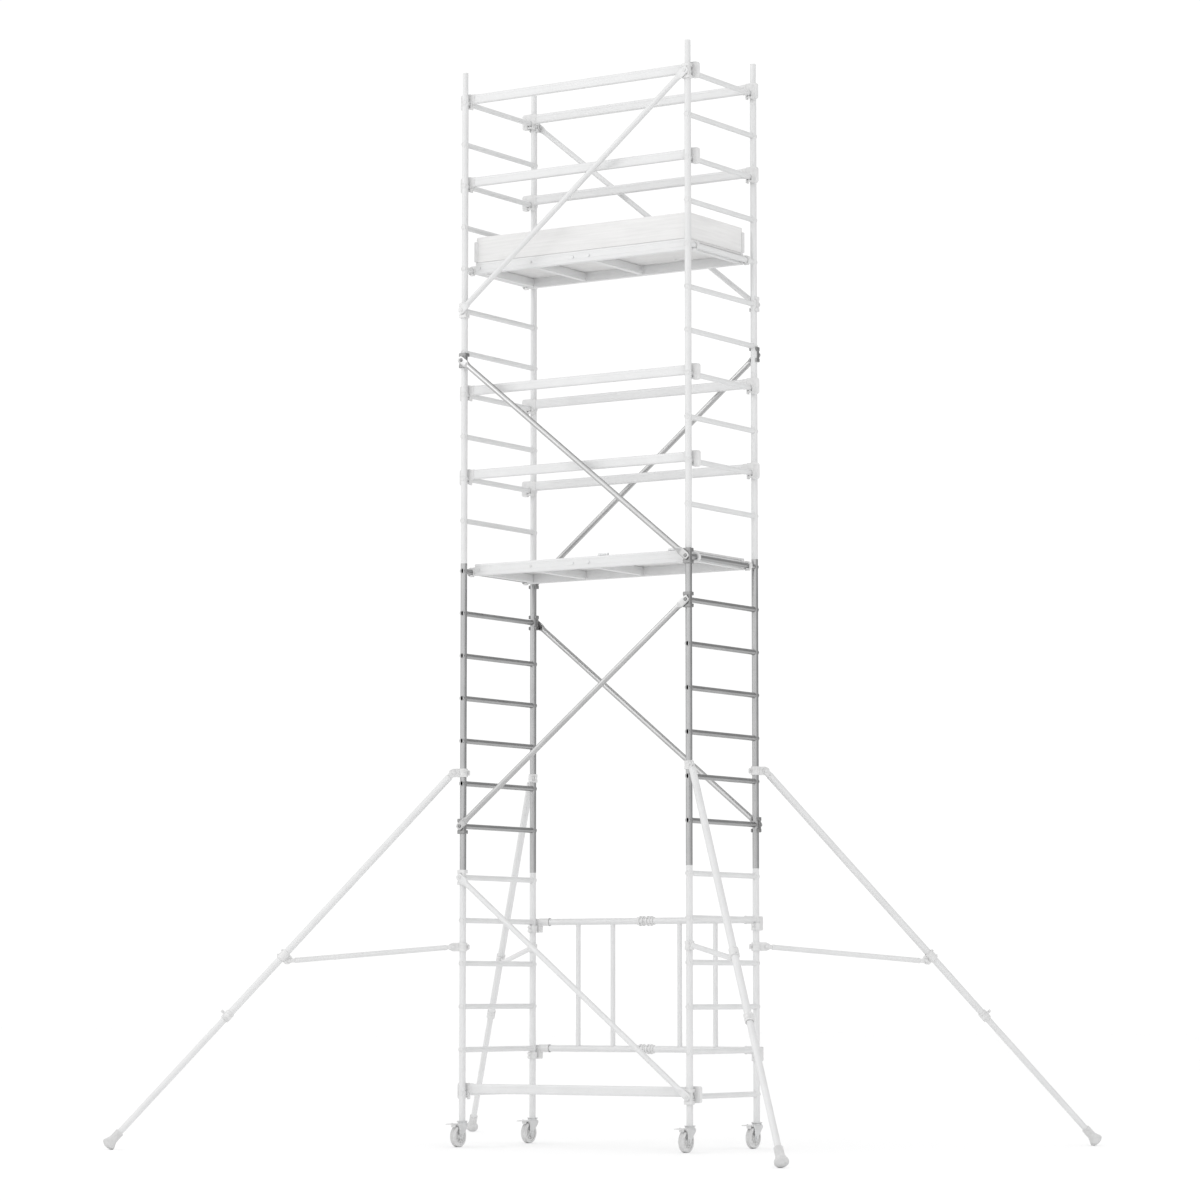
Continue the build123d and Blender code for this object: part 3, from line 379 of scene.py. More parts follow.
def cast_metal(name, dark, light, metallic):
    """Cast or zinc-plated metal: fine grain with broad clouding."""
    made = Finish(name, metallic)
    grain = made.noise(420, detail=4, rough=0.7)
    clouds = made.noise(18, detail=4)
    made.colour(made.spread(clouds, 0, 1), dark, light)
    made.roughness(grain, 0.34, 0.52)
    made.bump(grain, 0.00025)
    return made.material


def moulded_plastic(name, dark, light, roughness):
    """Moulded plastic with a fine spark-eroded grain and slightly polished high spots."""
    made = Finish(name)
    grain = made.noise(1100, detail=2)
    clouds = made.noise(26, detail=3)
    made.colour(made.spread(clouds, 0, 1), dark, light)
    made.roughness(clouds, roughness - 0.08, roughness + 0.08)
    made.bump(grain, 0.00015)
    return made.material


def rubber(name, dark, light):
    """Rubber with a dusty bloom and a fine pebbled grain."""
    made = Finish(name, Specular_IOR_Level=0.3)
    pebbles = made.add("TexVoronoi", Vector=made.place, Scale=700.0).outputs["Distance"]
    dust = made.noise(30, detail=6, rough=0.65)
    made.colour(made.spread(dust, 0, 1), dark, light)
    made.roughness(dust, 0.62, 0.85)
    made.bump(pebbles, 0.0002)
    return made.material


def deck_board(name, dark, light):
    """Birch plywood under a phenolic film: grain along the bay, and on every face the
    pressed hexagonal mesh that keeps boots from slipping."""
    made = Finish(name, Coat_Weight=0.15, Coat_Roughness=0.4)
    grain = made.noise(60, (0.05, 1, 1), 5)
    mesh = made.add("TexVoronoi", {"feature": "DISTANCE_TO_EDGE"}, Vector=made.place, Scale=170.0)
    ridge = made.spread(mesh.outputs["Distance"], 1, 0, 0.02, 0.12)
    made.colour(made.spread(grain, 0, 1), dark, light)
    made.roughness(grain, 0.45, 0.62)
    made.bump(ridge, 0.0006)
    return made.material


def sawn_board(name, dark, light):
    """Painted softwood board: long grain drawn out along both board directions."""
    made = Finish(name)
    grain = made.noise(90, (0.04, 0.04, 1), 5)
    knots = made.noise(9, (0.5, 0.5, 1), 4)
    both = made.add("Mix", i0=0.35, i2=grain, i3=knots).outputs[0]
    made.colour(made.spread(both, 0, 1, 0.35, 0.65), dark, light)
    made.roughness(grain, 0.5, 0.7)
    made.bump(grain, 0.0004)
    return made.material


PALE_DARK = grey(0.69, -0.003)
PALE_LIGHT = grey(0.74, -0.003)
MODULE_DARK = grey(0.35, -0.004)
MODULE_LIGHT = grey(0.41, -0.004)
PALE_METAL = 0.12

pale_frame, pale_along, pale_slant = (
    drawn_tube("satin_aluminium_" + name, PALE_DARK, PALE_LIGHT, 0.42, 0.56, PALE_METAL, lines)
    for name, lines in (("frame", "frame"), ("rail", "x"), ("brace", "slant")))
module_frame = drawn_tube("module_aluminium_frame", MODULE_DARK, MODULE_LIGHT, 0.26, 0.36, 1.0,
                          "frame")
module_slant = drawn_tube("module_aluminium_brace", grey(0.44), grey(0.51), 0.26, 0.38, 1.0,
                          "slant")
weld_pale = cast_metal("weld_metal", grey(0.64), grey(0.72), PALE_METAL)
weld_dark = cast_metal("module_weld_metal", grey(0.32), grey(0.40), 1.0)
cast_pale = cast_metal("cast_aluminium", grey(0.66), grey(0.74), PALE_METAL)
cast_dark = cast_metal("module_cast_aluminium", grey(0.26), grey(0.32), 0.85)
zinc = cast_metal("zinc_plated_steel", grey(0.62), grey(0.72, -0.01), 0.45)
plastic_pale = moulded_plastic("pale_moulded_plastic", grey(0.67), grey(0.74), 0.5)
rubber_pale = rubber("pale_rubber", grey(0.58), grey(0.68))
board = deck_board("coated_birch_plywood", grey(0.68, 0.006), grey(0.76, 0.006))
timber = sawn_board("painted_toeboard", grey(0.72, 0.005), grey(0.80, 0.005))


# ---- putting pieces in ----
def put(name, shells, material, body="tower", replaces=(), sharp=20):
    """One object from its shells, smooth except at edges sharper than the angle."""
    shift = np.cumsum([0] + [len(points) for points, loops, counts in shells])
    points = np.concatenate([shell[0] for shell in shells])
    loops = np.concatenate([shell[1] + start for shell, start in zip(shells, shift)])
    counts = np.concatenate([shell[2] for shell in shells])
    mesh = bpy.data.meshes.new(name)
    mesh.vertices.add(len(points))
    mesh.vertices.foreach_set("co", points.astype(np.float32).ravel())
    mesh.loops.add(len(loops))
    mesh.loops.foreach_set("vertex_index", loops.astype(np.int32))
    mesh.polygons.add(len(counts))
    mesh.polygons.foreach_set("loop_start", (np.cumsum(counts) - counts).astype(np.int32))
    mesh.update(calc_edges=True)
    mesh.shade_smooth()
    mesh.set_sharp_from_angle(angle=radians(sharp))
    mesh.materials.append(material)
    piece = bpy.data.objects.new(name, mesh)
    bpy.context.scene.collection.objects.link(piece)
    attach(piece, body)
    if replaces:
        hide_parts(*replaces)
    return piece


def dress(material, *nodes):
    """Better finish on CAD nodes whose shape is already right."""
    for node in nodes:
        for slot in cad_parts[node].material_slots:
            slot.material = material


# ---- ladder frames ----
RUNG_BORE = 0.0139
END_SINK = 0.0006               # rung ends are closed this far inside their rims
END_THICK = 0.0022
PLUG_EDGE = 0.0004
DISH_R = 0.0095
DISH_DEPTH = 0.0008
OVAL = (0.0068, 0.0128)         # opening left where a module rung's end is pressed in
LIP = ((0, 0), (0.5, 0.0002), (1, 0.0012), (1, END_THICK), (0, END_THICK))


def rung_end(tip, out, pressed):
    """End of a rung. A pale one has a plastic plug with a shallow dish. A module one is
    pressed in to an upright oval: each ring is the ellipse (a cos t, b sin t), and a and b
    pass by k from the bore's radius to the oval's, for each k and depth of the lip."""
    if not pressed:
        dish = [(-END_SINK - END_THICK, RUNG_BORE), (-END_SINK - PLUG_EDGE, RUNG_BORE),
                (-END_SINK, RUNG_BORE - FINE_EDGE), (-END_SINK, DISH_R),
                (-END_SINK - DISH_DEPTH, DISH_R - 0.001)]
        return lathe(dish, tip, out, 32)
    t = 2 * pi * np.arange(40) / 40
    rings = []
    for k, depth in LIP:
        a, b = (RUNG_BORE + k * (reach - RUNG_BORE) for reach in OVAL)
        flat = np.cos(t)[:, None] * a * X + np.sin(t)[:, None] * b * Z
        rings.append(tip - (END_SINK + depth) * out + flat)
    return skin(np.stack(rings), wrap=True)


for stage_name, rungs in (("base", BASE), ("module", MODULE), ("middle", MIDDLE), ("top", TOP)):
    dark = stage_name == "module"
    for side_name, side in (("left", -1), ("right", 1)):
        node = stage_name + "_frame_" + side_name
        dress(module_frame if dark else pale_frame, node)
        posts = [(np.array((side * HALF_X, rear * HALF_Y, z)), rear)
                 for rear in (-1, 1) for z in rungs]
        beads = [weld_bead(post, Z, -rear * Y, RUNG_R, POST_R) for post, rear in posts]
        put(node + "_welds", beads, weld_dark if dark else weld_pale, sharp=90)
        ends = [rung_end(post + rear * RUNG_OVERHANG * Y, rear * Y, dark) for post, rear in posts]
        put(node + "_rung_ends", ends, module_frame if dark else plastic_pale)


# ---- diagonal braces ----
BRACE_R = 0.016
BRACE_OFFSET = 0.034            # centre line outside the post centre
TAB_HALF_THICK = 0.0045
TAB_HALF_WIDTH = 0.022
TAB_PAST = 0.020                # flattened end beyond its pin
TAB_LENGTH = 0.036
TAPER_END = 0.068
UNDER_RUNG = 0.048
NOSE = np.array([1.0, 0.9, 0.7, 0.45, 0.1])     # where its rounded end is cut
NOSE_R = 1.25 * TAB_PAST

BASE_BRACE = [(-1, -1, BASE[5], 1, BASE[0])]
TOP_BRACES = [(-1, -1, MIDDLE[5], 1, TOP[3]), (1, 1, MIDDLE[5], -1, TOP[3])]
MODULE_BRACES = [(-1, -1, MODULE[0], 1, MODULE[5]), (1, 1, MODULE[0], -1, MODULE[5]),
                 (1, -1, MODULE[6], -1, MIDDLE[4] - UNDER_RUNG),
                 (-1, 1, MODULE[6], 1, MIDDLE[4] - UNDER_RUNG)]


def brace(start, end, sides=36):
    """Tube with both ends pressed flat. At distance d from the pin its section is
    |a / thick|^n + |b / wide|^n = 1, and thick, wide and n pass by 3k^2 - 2k^3 from the
    flat end's values to the tube's; past the pin the width falls as a circle does."""
    d = np.concatenate([-TAB_PAST * NOSE, np.linspace(TAB_LENGTH, TAPER_END, 9)])
    k = np.clip((d - TAB_LENGTH) / (TAPER_END - TAB_LENGTH), 0, 1)
    k = k * k * (3 - 2 * k)
    thick = TAB_HALF_THICK + (BRACE_R - TAB_HALF_THICK) * k
    wide = TAB_HALF_WIDTH + (BRACE_R - TAB_HALF_WIDTH) * k
    wide = wide * np.sqrt(1 - np.clip(-d / NOSE_R, 0, 1) ** 2)
    power = 2 / (4 - 2 * k)
    line = unit(end - start)
    square = np.cross(line, Y)
    angle = 2 * pi * np.arange(sides) / sides
    a = np.sign(np.cos(angle)) * np.abs(np.cos(angle)) ** power[:, None] * thick[:, None]
    b = np.sign(np.sin(angle)) * np.abs(np.sin(angle)) ** power[:, None] * wide[:, None]
    ring = a[..., None] * Y + b[..., None] * square
    near = start + d[:, None, None] * line + ring
    far = (end - d[:, None, None] * line + ring)[::-1]
    return skin(np.concatenate([near, far]))


CLAW_HALF_WIDTH = 0.026
CLAW_INNER = -0.014
CLAW_OUTER = 0.028
CLAW_HALF_HEIGHT = 0.044
CLAW_BAND = 0.021               # height of the band at each end of a claw
WAIST_HALF_WIDTH = 0.0235
WAIST_INNER = 0.003
WAIST_OUTER = 0.0262
CLAW_BORE = 0.0192
CLAW_MOUTH_HALF = 0.0175
CLAW_CORNER = 0.009
LIP_CORNER = 0.003
RIB_PROUD = 0.0014
CLAW_RIB = ((0.005, -0.0016), (0.018, 0.0016))
CLAW_RIB_LEVELS = (-0.012, 0, 0.012)
CLAW_EDGE = 0.0025
PIN_R = 0.006
PIN_HEAD_R = 0.010
PIN_SHOULDER = BRACE_OFFSET + TAB_HALF_THICK + 0.001


def brace_claw(x, rear, z):
    """Cast claw round a post: a C-shaped band at each end reaches past the post's centre,
    the waist between them clasps only its outer half and carries ribs on its cheeks and a
    raised pad under the brace, and the brace's pin has a washer and a domed head."""
    post = np.array((x, rear * HALF_Y, z))
    out = rear * Y
    gape = degrees(acos(CLAW_MOUTH_HALF / CLAW_BORE))
    bore = arc((0, 0), CLAW_BORE, 180 + gape, -gape, 22)
    wide = CLAW_HALF_WIDTH
    outer = [(CLAW_MOUTH_HALF, CLAW_INNER), (wide, CLAW_INNER), (wide, CLAW_OUTER),
             (-wide, CLAW_OUTER), (-wide, CLAW_INNER), (-CLAW_MOUTH_HALF, CLAW_INNER)]
    radii = [LIP_CORNER] * 2 + [CLAW_CORNER] * 2 + [LIP_CORNER] * 2 + [0] * len(bore)
    outline = rounded(np.concatenate([outer, bore]), radii)
    tall = CLAW_HALF_HEIGHT
    band = tall - CLAW_BAND
    shells = [prism(outline, post, X, out, band, tall, CLAW_EDGE, w=Z),
              prism(outline, post, X, out, -tall, -band, CLAW_EDGE, w=Z)]
    waist = WAIST_HALF_WIDTH
    lift = degrees(asin(WAIST_INNER / CLAW_BORE))
    bore = arc((0, 0), CLAW_BORE, 180 - lift, lift, 20)
    outer = [(waist, WAIST_INNER), (waist, WAIST_OUTER),
             (-waist, WAIST_OUTER), (-waist, WAIST_INNER)]
    radii = [0.001, 0.008, 0.008, 0.001] + [0] * len(bore)
    outline = rounded(np.concatenate([outer, bore]), radii)
    shells.append(prism(outline, post, X, out, -band - 0.003, band + 0.003, FINE_EDGE, w=Z))
    rib = rectangle(*CLAW_RIB, 0.0012, 3)
    for side in (-1, 1):
        for level in CLAW_RIB_LEVELS:
            at = post + side * (waist - 0.001) * X + level * Z
            shells.append(prism(rib, at, out, Z, 0, 0.001 + RIB_PROUD, FINE_EDGE, w=side * X))
    pad = [(WAIST_OUTER - 0.002, 0.019), (CLAW_OUTER + 0.0006, 0.0185),
           (CLAW_OUTER + 0.0012, 0.0175)]
    shells.append(lathe(pad, post, out, 36))
    shank = [(CLAW_OUTER - 0.004, PIN_R), (PIN_SHOULDER, PIN_R)]
    shells.append(lathe(shank, post, out, 24))
    washer = post + (BRACE_OFFSET + TAB_HALF_THICK) * out
    shells.append(rod(washer, washer + 0.0012 * out, 0.0115, HAIR_EDGE))
    head = [(PIN_SHOULDER, PIN_HEAD_R - 0.0004), (PIN_SHOULDER + 0.0006, PIN_HEAD_R),
            (PIN_SHOULDER + 0.0028, PIN_HEAD_R), (PIN_SHOULDER + 0.0042, 0.0086),
            (PIN_SHOULDER + 0.0049, 0.0058), (PIN_SHOULDER + 0.0049, 0.0040),
            (PIN_SHOULDER + 0.0030, 0.0036)]
    shells.append(lathe(head, post, out, 28))
    return shells


def brace_set(places):
    """The braces of a set, and their claws."""
    tubes = []
    claws = []
    for side, rear, z, far_side, top in places:
        y = rear * (HALF_Y + BRACE_OFFSET)
        tubes.append(brace(np.array((side * HALF_X, y, z)), np.array((far_side * HALF_X, y, top))))
        claws += brace_claw(side * HALF_X, rear, z) + brace_claw(far_side * HALF_X, rear, top)
    return tubes, claws


tubes, claws = brace_set(MODULE_BRACES)
put("module_brace_tubes", tubes, module_slant, replaces=["module_braces"])
put("module_claw_castings", claws, cast_dark, replaces=["module_brace_claws"])
tubes, claws = brace_set(BASE_BRACE + TOP_BRACES)
put("tower_brace_tubes", tubes, pale_slant, replaces=["tower_braces"])
put("tower_claw_castings", claws, cast_pale, replaces=["tower_brace_claws"])


# ---- guard rails, base beam and end claws ----
RAIL_HALF_THICK = 0.0125
RAIL_HALF_TALL = 0.028
RAIL_CORNER = 0.008
RAIL_GROOVE_HALF = 0.012
RAIL_GROOVE = 0.0008
RAIL_ABOVE = 0.025              # rail centre above the rung centre
RAIL_Y = HALF_Y - 0.038
CLAW_START = -0.023             # end claw, from the rung centre, outwards and upwards
CLAW_PAST = 0.052
CLAW_BELOW = -0.036
CLAW_ABOVE = 0.058
END_CLAW_HALF = 0.014
GRIP_R = 0.0158
LATCH_HALF = 0.0154
LATCH_TOP = -0.018
LATCH_BOTTOM = -0.029
SLEEVE_LENGTH = 0.026           # end claw's sleeve over the rail
SLEEVE_HALF = (RAIL_HALF_THICK + 0.0025, 0.0305)
END_CLAW_RADII = [0.0028, 0.012, 0.014, 0.006, 0.0028, 0.0028]
END_CLAW_RIBS = (0.023, 0.031, 0.039)
RIVET_LEVELS = (-0.011, 0.011)


def rail(rear, rung):
    """Extruded rail: a rounded section with a shallow channel along each broad face."""
    t = RAIL_HALF_THICK
    h = RAIL_HALF_TALL
    g = RAIL_GROOVE_HALF
    dip = t - RAIL_GROOVE
    right = [(t, -h), (t, -g), (dip, -g + 0.001), (dip, g - 0.001), (t, g), (t, h)]
    left = [(-a, -b) for a, b in right]
    r = RAIL_CORNER
    outline = rounded(right + left, [r, 0, 0, 0, 0, r, r, 0, 0, 0, 0, r])
    reach = HALF_X + CLAW_START
    return prism(outline, (0, rear * RAIL_Y, rung + RAIL_ABOVE), Y, Z, -reach, reach, 0.0005)


def end_claw(side, rear, rung):
    """Moulded claw over a rung: the outline has a slot as wide as the rung, ribs fan down
    both faces, a sleeve grips the rail, and a hooked latch closes the slot from below."""
    at = np.array((side * HALF_X, rear * RAIL_Y, rung))
    out = side * X
    bore = arc((0, 0), GRIP_R, 180, 0, 16)
    outer = [(GRIP_R, CLAW_BELOW), (CLAW_PAST, CLAW_BELOW), (CLAW_PAST, CLAW_ABOVE),
             (CLAW_START, CLAW_ABOVE), (CLAW_START, CLAW_BELOW), (-GRIP_R, CLAW_BELOW)]
    outline = rounded(np.concatenate([outer, bore]), END_CLAW_RADII + [0] * len(bore))
    half = END_CLAW_HALF
    shells = [prism(outline, at, out, Z, -half + 0.001, half - 0.001, 0.0018, w=Y)]
    rib = rectangle((-0.0014, CLAW_BELOW + 0.008), (0.0014, CLAW_ABOVE - 0.012), 0.001, 3)
    for place in END_CLAW_RIBS:
        shells.append(prism(rib, at + place * out, out, Z, -half, half, FINE_EDGE, w=Y))
    brow = rectangle((-0.014, 0.0245), (0.014, 0.0275), 0.0014, 3)
    shells.append(prism(brow, at, out, Z, -half, half, FINE_EDGE, w=Y))
    sleeve = rectangle(np.negative(SLEEVE_HALF), SLEEVE_HALF, 0.010)
    start = at + CLAW_START * out + RAIL_ABOVE * Z
    shells.append(prism(sleeve, start, Y, Z, -0.004, SLEEVE_LENGTH, 0.0015, w=-out))
    for level in RIVET_LEVELS:
        for face in (-1, 1):
            rivet = start - out * SLEEVE_LENGTH / 2 + level * Z
            rivet = rivet + face * (SLEEVE_HALF[0] - RIVET_SINK) * Y
            shells.append(dome_head(rivet, face * Y, 0.0042, 0.0020))
    hook = [(-LATCH_HALF, LATCH_TOP - 0.001), (-LATCH_HALF, LATCH_BOTTOM + 0.003),
            (-0.004, LATCH_BOTTOM), (LATCH_HALF, LATCH_BOTTOM), (LATCH_HALF, LATCH_TOP),
            (-0.006, LATCH_TOP)]
    shells.append(prism(rounded(hook, 0.0015, 3), at, out, Z, -0.008, 0.008, CRISP_EDGE, w=Y))
    pin = at + 0.0205 * out + (LATCH_TOP - 0.005) * Z
    shells.append(rod(pin - half * Y, pin + half * Y, 0.0030, 0.0005))
    return shells


BEAM_PLACES = [(-1, BASE[0])]
LOWER_PLACES = [(rear, MIDDLE[n]) for rear in (-1, 1) for n in (1, 3)]
UPPER_PLACES = [(rear, TOP[n]) for rear in (-1, 1) for n in (1, 3)]
for name, node, places in (("base_beam_extrusion", "base_beam", BEAM_PLACES),
                           ("lower_rail_extrusions", "guard_rails_lower", LOWER_PLACES),
                           ("upper_rail_extrusions", "guard_rails_upper", UPPER_PLACES)):
    put(name, [rail(*place) for place in places], pale_along, replaces=[node])
claws = [shell for place in BEAM_PLACES + LOWER_PLACES + UPPER_PLACES for side in (-1, 1)
         for shell in end_claw(side, *place)]
put("rail_claw_mouldings", claws, plastic_pale, replaces=["rail_claws"])


# ---- platforms ----
PLATFORM_END = HALF_X - 0.032
SIDE_RAIL_Y = 0.285
SIDE_RAIL_HALF = 0.015
SIDE_RAIL_BELOW = 0.023         # underside below the rung centre
SIDE_RAIL_ABOVE = 0.045         # deck surface above the rung centre
DECK_THICK = 0.012
MEMBER_HALF = 0.015
MEMBER_TALL = 0.050
MEMBER_DROP = DECK_THICK + 0.0005
MEMBER_REACH = 0.2699
MEMBERS = (-0.7255, -0.350, 0.055, 0.7255)
HATCH = ((0.060, -0.262), (0.715, 0.266))
BOARDS = (((-0.7415, -0.2697), (0.057, 0.2697)), ((0.718, -0.2697), (0.7415, 0.2697)))
HAND_HOLE = (0.3875, 0.196)
HAND_HOLE_HALF = 0.055
HAND_HOLE_R = 0.018
HINGES = (0.149, 0.626)
BOLTS = (-0.715, -0.350, -0.055, 0.055, 0.715)
STRAP_SCREWS = ((-0.008, 0.035), (0.008, 0.050), (-0.008, 0.065), (0.008, 0.075))
HINGE_Y = -0.285
HINGE_R = 0.007
HINGE_PIN_R = 0.0035
KNUCKLE_HALF = 0.017
STRAP_LENGTH = 0.085
STRAP_THICK = 0.003
HINGE_LIFT = 0.00035
HOOK_R = 0.027
HOOK_HALF = 0.012
HOOK_ARM = HALF_X - PLATFORM_END - 0.0002


def side_rail(rear, rung):
    """Extruded side rail with two shallow channels along its outer face."""
    mid = rung + (SIDE_RAIL_ABOVE - SIDE_RAIL_BELOW) / 2
    h = (SIDE_RAIL_ABOVE + SIDE_RAIL_BELOW) / 2
    t = SIDE_RAIL_HALF
    dip = t - 0.0012
    face = [(t, -h), (t, -0.021), (dip, -0.020), (dip, -0.012), (t, -0.011),
            (t, 0.011), (dip, 0.012), (dip, 0.020), (t, 0.021), (t, h)]
    outline = rounded(face + [(-t, h), (-t, -h)], [0.004] + [0] * 8 + [0.004, 0.002, 0.002], 4)
    return prism(outline, (0, rear * SIDE_RAIL_Y, mid), rear * Y, Z, -PLATFORM_END, PLATFORM_END,
                 0.0008, w=X)


def rung_hook(side, rear, rung):
    """Cast hook: a ring open below, with an arm that fills the end of the side rail, two
    rivets, a raised rim over the rung, and the wind latch under it."""
    at = np.array((side * HALF_X, rear * SIDE_RAIL_Y, rung))
    out = side * X
    lip = degrees(acos(GRIP_R / HOOK_R))
    ring = arc((0, 0), HOOK_R, -lip, 90, 20)
    bore = arc((0, 0), GRIP_R, 180, 0, 18)
    arm = [(-HOOK_ARM, HOOK_R), (-HOOK_ARM, -0.0205), (-GRIP_R, -0.0215)]
    outline = np.concatenate([ring, arm, bore])
    shells = [prism(outline, at, out, Z, -HOOK_HALF, HOOK_HALF, 0.0012, w=Y)]
    rim = np.concatenate([arc((0, 0), HOOK_R - 0.001, 5, 175, 24),
                          arc((0, 0), HOOK_R - 0.005, 175, 5, 24)])
    high = HOOK_HALF + 0.0015
    shells.append(prism(rim, at, out, Z, -high, high, FINE_EDGE, w=Y))
    latch = rectangle((-LATCH_HALF, LATCH_BOTTOM), (LATCH_HALF, LATCH_TOP), 0.003, 4)
    shells.append(prism(latch, at, out, Z, -0.005, 0.005, CRISP_EDGE, w=Y))
    for face in (-1, 1):
        rivet = at - out * 0.0255 + 0.006 * Z + face * HOOK_HALF * Y
        shells.append(dome_head(rivet, face * Y, 0.0045, 0.0022))
    return shells


def cross_member(x, top):
    """Box-section member between the side rails, with rounded corners."""
    outline = rectangle((-MEMBER_HALF, -MEMBER_TALL), (MEMBER_HALF, 0), 0.004, 4)
    return prism(outline, (x, 0, top - MEMBER_DROP), X, Z, -MEMBER_REACH, MEMBER_REACH, 0.0005,
                 w=Y)


def hinge_leaf(x, y, reach, low, half=KNUCKLE_HALF, edge=0.0012):
    """Flat hinge leaf with rounded corners, from the hinge line to its reach."""
    outline = rectangle((x - half, y), (x + half, y + reach), 0.003, 4)
    return prism(outline, (0, 0, 0), X, Y, low, low + STRAP_THICK, edge)


def fixed_hinge(x, top):
    """Two outer knuckles on their leaves, and the hinge pin with its domed ends."""
    pin = np.array((x, HINGE_Y, top + HINGE_LIFT + HINGE_R))
    shells = []
    for side in (-1, 1):
        near = side * (KNUCKLE_HALF + 0.0005)
        far = side * 2 * KNUCKLE_HALF
        shells.append(pipe(pin + near * X, pin + far * X, HINGE_R, HINGE_PIN_R, FINE_EDGE))
        half = (abs(far) - abs(near)) / 2
        shells.append(hinge_leaf(x + (near + far) / 2, HINGE_Y, -0.0075, top + 0.0001, half))
        shells.append(dome_head(pin + (far + side * 0.0002) * X, side * X, 0.0052, 0.0018))
    shells.append(rod(pin - 2 * KNUCKLE_HALF * X, pin + 2 * KNUCKLE_HALF * X, HINGE_PIN_R))
    return shells


def plate_with_slot(low, high, centre, half, radius, bottom, top, edge=0.0008):
    """Plate with a round-ended hole. Both rims are functions of the angle t about the hole's
    centre: the plate's is the distance to its nearest side along t, and the hole's is the
    distance to a slot of half length h and end radius r, r / |sin t| along the straights
    and c + sqrt(c^2 - c^2 / cos^2 t + r^2) with c = (h - r) |cos t| round the ends."""
    sides = np.array([low, (high[0], low[1]), high, (low[0], high[1])], float) - centre
    corners = np.arctan2(sides[:, 1], sides[:, 0])
    t = np.sort(np.concatenate([np.linspace(-pi, pi, 96, endpoint=False), corners]))
    ray = np.stack([np.cos(t), np.sin(t)], -1)
    with np.errstate(divide="ignore", invalid="ignore"):
        to_x = np.where(ray[:, 0] > 0, high[0] - centre[0], low[0] - centre[0]) / ray[:, 0]
        to_y = np.where(ray[:, 1] > 0, high[1] - centre[1], low[1] - centre[1]) / ray[:, 1]
        straight = radius / np.abs(ray[:, 1])
    far = np.minimum(np.abs(to_x), np.abs(to_y))
    reach = half - radius
    c = reach * np.abs(ray[:, 0])
    end = c + np.sqrt(np.maximum(c ** 2 - reach ** 2 + radius ** 2, 0))
    near = np.where(straight * np.abs(ray[:, 0]) <= reach, straight, end)

    def ring(distance, z):
        flat = np.array(centre) + ray * distance[:, None]
        return np.concatenate([flat, np.full((len(t), 1), z)], 1)

    return skin(np.stack([ring(far - edge, bottom), ring(far, bottom + edge), ring(far, top - edge),
                          ring(far - edge, top), ring(near + edge, top), ring(near, top - edge),
                          ring(near, bottom + edge), ring(near + edge, bottom)]), wrap=True)


def slot_ring(centre, half, radius, border, bottom, top):
    """Moulded rim round the hand hole: the slot's outline and the same outline grown."""
    def outline(r):
        right = arc((centre[0] + half - radius, centre[1]), r, -90, 90, 16)
        left = arc((centre[0] - half + radius, centre[1]), r, 90, 270, 16)
        return np.concatenate([right, left])

    rows = [(radius, bottom), (radius + border, bottom), (radius + border, top - 0.0006),
            (radius + border - 0.0006, top), (radius + 0.0006, top), (radius, top - 0.0006)]
    rings = [np.concatenate([outline(r), np.full((32, 1), z)], 1) for r, z in rows]
    return skin(np.stack(rings), wrap=True)


